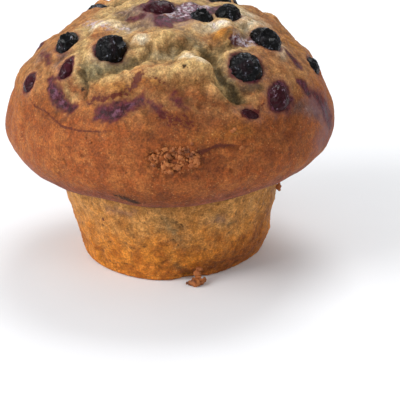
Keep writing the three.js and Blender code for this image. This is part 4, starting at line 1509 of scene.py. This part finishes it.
CRATER_CRUMBS = 150
CRATER_AT = np.array((2.0, 84.0))  # azimuth and angle from the crown
CRATER_REACH = np.array((8.5, 4.6))
STRAY_CRUMBS = ((23, 76), (22, 76.4), (25, 82), (24.4, 82.3), (-27, 80), (-29, 79), (12, 62), (8, 79))
HANGING_CRUMB = (
    ((7.4, -31.9, 1.3), 1.25),
    ((8.9, -31.2, 1.1), 1.05),
    ((6.1, -31.6, 0.9), 0.8),
    ((5.0, -31.3, 0.7), 0.45),
    ((10.1, -30.0, 1.2), 0.7),
    ((8.3, -30.2, 2.1), 0.9),
    ((8.0, -29.3, 3.0), 0.95),
    ((8.6, -29.0, 4.2), 0.8),
)
LIP_FLAKE = (((32.2, -8.0, 21.8), 0.75), ((32.5, -7.4, 20.6), 0.5), ((32.4, -8.4, 22.8), 0.5))


@dataclass(frozen=True)
class CrumbPile:
    """Loose crumbs of one kind, as one piece."""

    name: str
    spots: tuple[tuple[Triple, float], ...]

    def build(self) -> bpy.types.Object:
        """The crumbs, each at its spot and radius, joined."""
        balls = []
        for i, (spot, radius) in enumerate(self.spots):
            ball = round_ball(f"{self.name}_{i}", 3 if radius > 0.6 else 2)
            out = points_of(ball)
            shift = i * 2.3
            squash = 1.0 + 0.25 * np.sin(np.array((1.0, 2.0, 3.0)) * (i + 1))
            lumps = 1.0 + 0.35 * Waves.at(out, 0.8, shift) + 0.16 * Waves.at(out, 0.4, shift)
            set_points(ball, (out * squash * lumps[:, None] * radius + np.array(spot)) * MM)
            balls.append(ball)
        deselect_all()
        for ball in balls:
            ball.select_set(True)
        bpy.context.view_layer.objects.active = balls[0]
        if len(balls) > 1:
            bpy.ops.object.join()
        piece = bpy.context.view_layer.objects.active
        piece.name = piece.data.name = self.name
        return piece


def surface_spot(at: Place, lift: float) -> Triple:
    """A point over the crust at a place of the dome, in the part's frame."""
    spot = FORM.on_dome(at)
    out = FORM.dome_normal(spot)
    return tuple(FORM.lean((spot + out * (FORM.relief(spot[None])[0] + lift))[None])[0])


def crater_crumbs() -> CrumbPile:
    """The crumbs in the pit of the cap's front and on the crust near it."""
    draw = np.random.default_rng(7)
    spots = []
    for _ in range(CRATER_CRUMBS):
        angle, reach = draw.uniform(0, 2 * math.pi), draw.uniform(0, 1) ** 0.6
        at = tuple(CRATER_AT + CRATER_REACH * reach * (math.cos(angle), math.sin(angle)))
        spots.append((surface_spot(at, draw.uniform(-0.6, 0.1)), draw.uniform(0.3, 0.75)))
    for at in STRAY_CRUMBS:
        spots.append((surface_spot(at, 0.1), draw.uniform(0.35, 0.6)))
    return CrumbPile("crater_crumbs", tuple(spots))


# ---- Studio ----


@dataclass(frozen=True)
class Lamp:
    """One soft square lamp that faces the muffin: its direction in degrees, distance, size and power."""

    name: str
    azimuth: float
    elevation: float
    distance: float
    size: float
    power: float

    def build(self, middle: Vector) -> None:
        """Hangs the lamp.

        Args:
            middle: What it faces, in millimetres.
        """
        turn, rise = math.radians(self.azimuth), math.radians(self.elevation)
        towards = Vector((math.sin(turn) * math.cos(rise), -math.cos(turn) * math.cos(rise), math.sin(rise)))
        lamp = bpy.data.lights.new(self.name, "AREA")
        lamp.shape, lamp.size, lamp.energy = "SQUARE", self.size * MM, self.power
        holder = bpy.data.objects.new(self.name, lamp)
        holder.location = (middle + towards * self.distance) * MM
        holder.rotation_euler = (-towards).to_track_quat("-Z", "Y").to_euler()
        bpy.context.scene.collection.objects.link(holder)


@dataclass(frozen=True)
class Studio:
    """Pale floor, soft lights and the camera."""

    middle: Triple = (8.8, 0.0, 14.4)
    lit: Triple = (0.0, 0.0, 30.0)
    camera_distance: float = 650.0
    camera_elevation: float = 21.6
    lens: float = 192.93
    sensor: float = 36.0
    clip: tuple[float, float] = (0.01, 20.0)
    half_floor: float = 3000.0
    sky: float = 0.44
    lamps: tuple[Lamp, ...] = (
        Lamp("key", -62, 32, 820, 500, 6.0),
        Lamp("fill", 32, 38, 820, 350, 1.2),
        Lamp("back", 165, 58, 820, 400, 3.8),
    )

    def build(self) -> None:
        """Sets everything up."""
        self._floor()
        self._camera()
        for lamp in self.lamps:
            lamp.build(Vector(self.lit))
        self._sky()
        bpy.context.scene.view_settings.view_transform = "Standard"

    def _floor(self) -> None:
        """The floor, which stands for whatever the muffin stands on."""
        deselect_all()
        bpy.ops.mesh.primitive_plane_add(size=2 * self.half_floor * MM)
        floor = bpy.context.object
        floor.name = floor.data.name = "floor"
        floor.data.materials.append(FloorFinish().make())

    def _camera(self) -> None:
        """The camera, in front and a little above."""
        tilt = math.radians(self.camera_elevation)
        back = Vector((0.0, -math.cos(tilt), math.sin(tilt)))
        lens = bpy.data.cameras.new("camera")
        lens.lens, lens.sensor_width = self.lens, self.sensor
        lens.clip_start, lens.clip_end = self.clip
        camera = bpy.data.objects.new("camera", lens)
        camera.location = (Vector(self.middle) + back * self.camera_distance) * MM
        camera.rotation_euler = (math.pi / 2 - tilt, 0.0, 0.0)
        bpy.context.scene.collection.objects.link(camera)
        bpy.context.scene.camera = camera

    def _sky(self) -> None:
        """Even light from all round."""
        world = bpy.data.worlds.new("room")
        world.use_nodes = True
        light = world.node_tree.nodes["Background"]
        light.inputs["Color"].default_value = (1.0, 1.0, 1.0, 1.0)
        light.inputs["Strength"].default_value = self.sky
        bpy.context.scene.world = world


def main() -> None:
    """Builds the muffin and its studio."""
    cake = BakedCake().build()
    finish_piece(cake, CrustFinish().make())
    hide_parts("cake")
    skins = {kind: finish.make() for kind, finish in BERRY_FINISHES.items()}
    for berry in BERRIES:
        piece = berry.build()
        finish_piece(piece, skins[berry.kind])
        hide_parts(berry.node)
    crumb = CrumbFinish().make()
    for pile in (crater_crumbs(), CrumbPile("foot_crumbs", HANGING_CRUMB + LIP_FLAKE)):
        finish_piece(pile.build(), crumb)
    Studio().build()


if __name__ == "__main__":
    main()
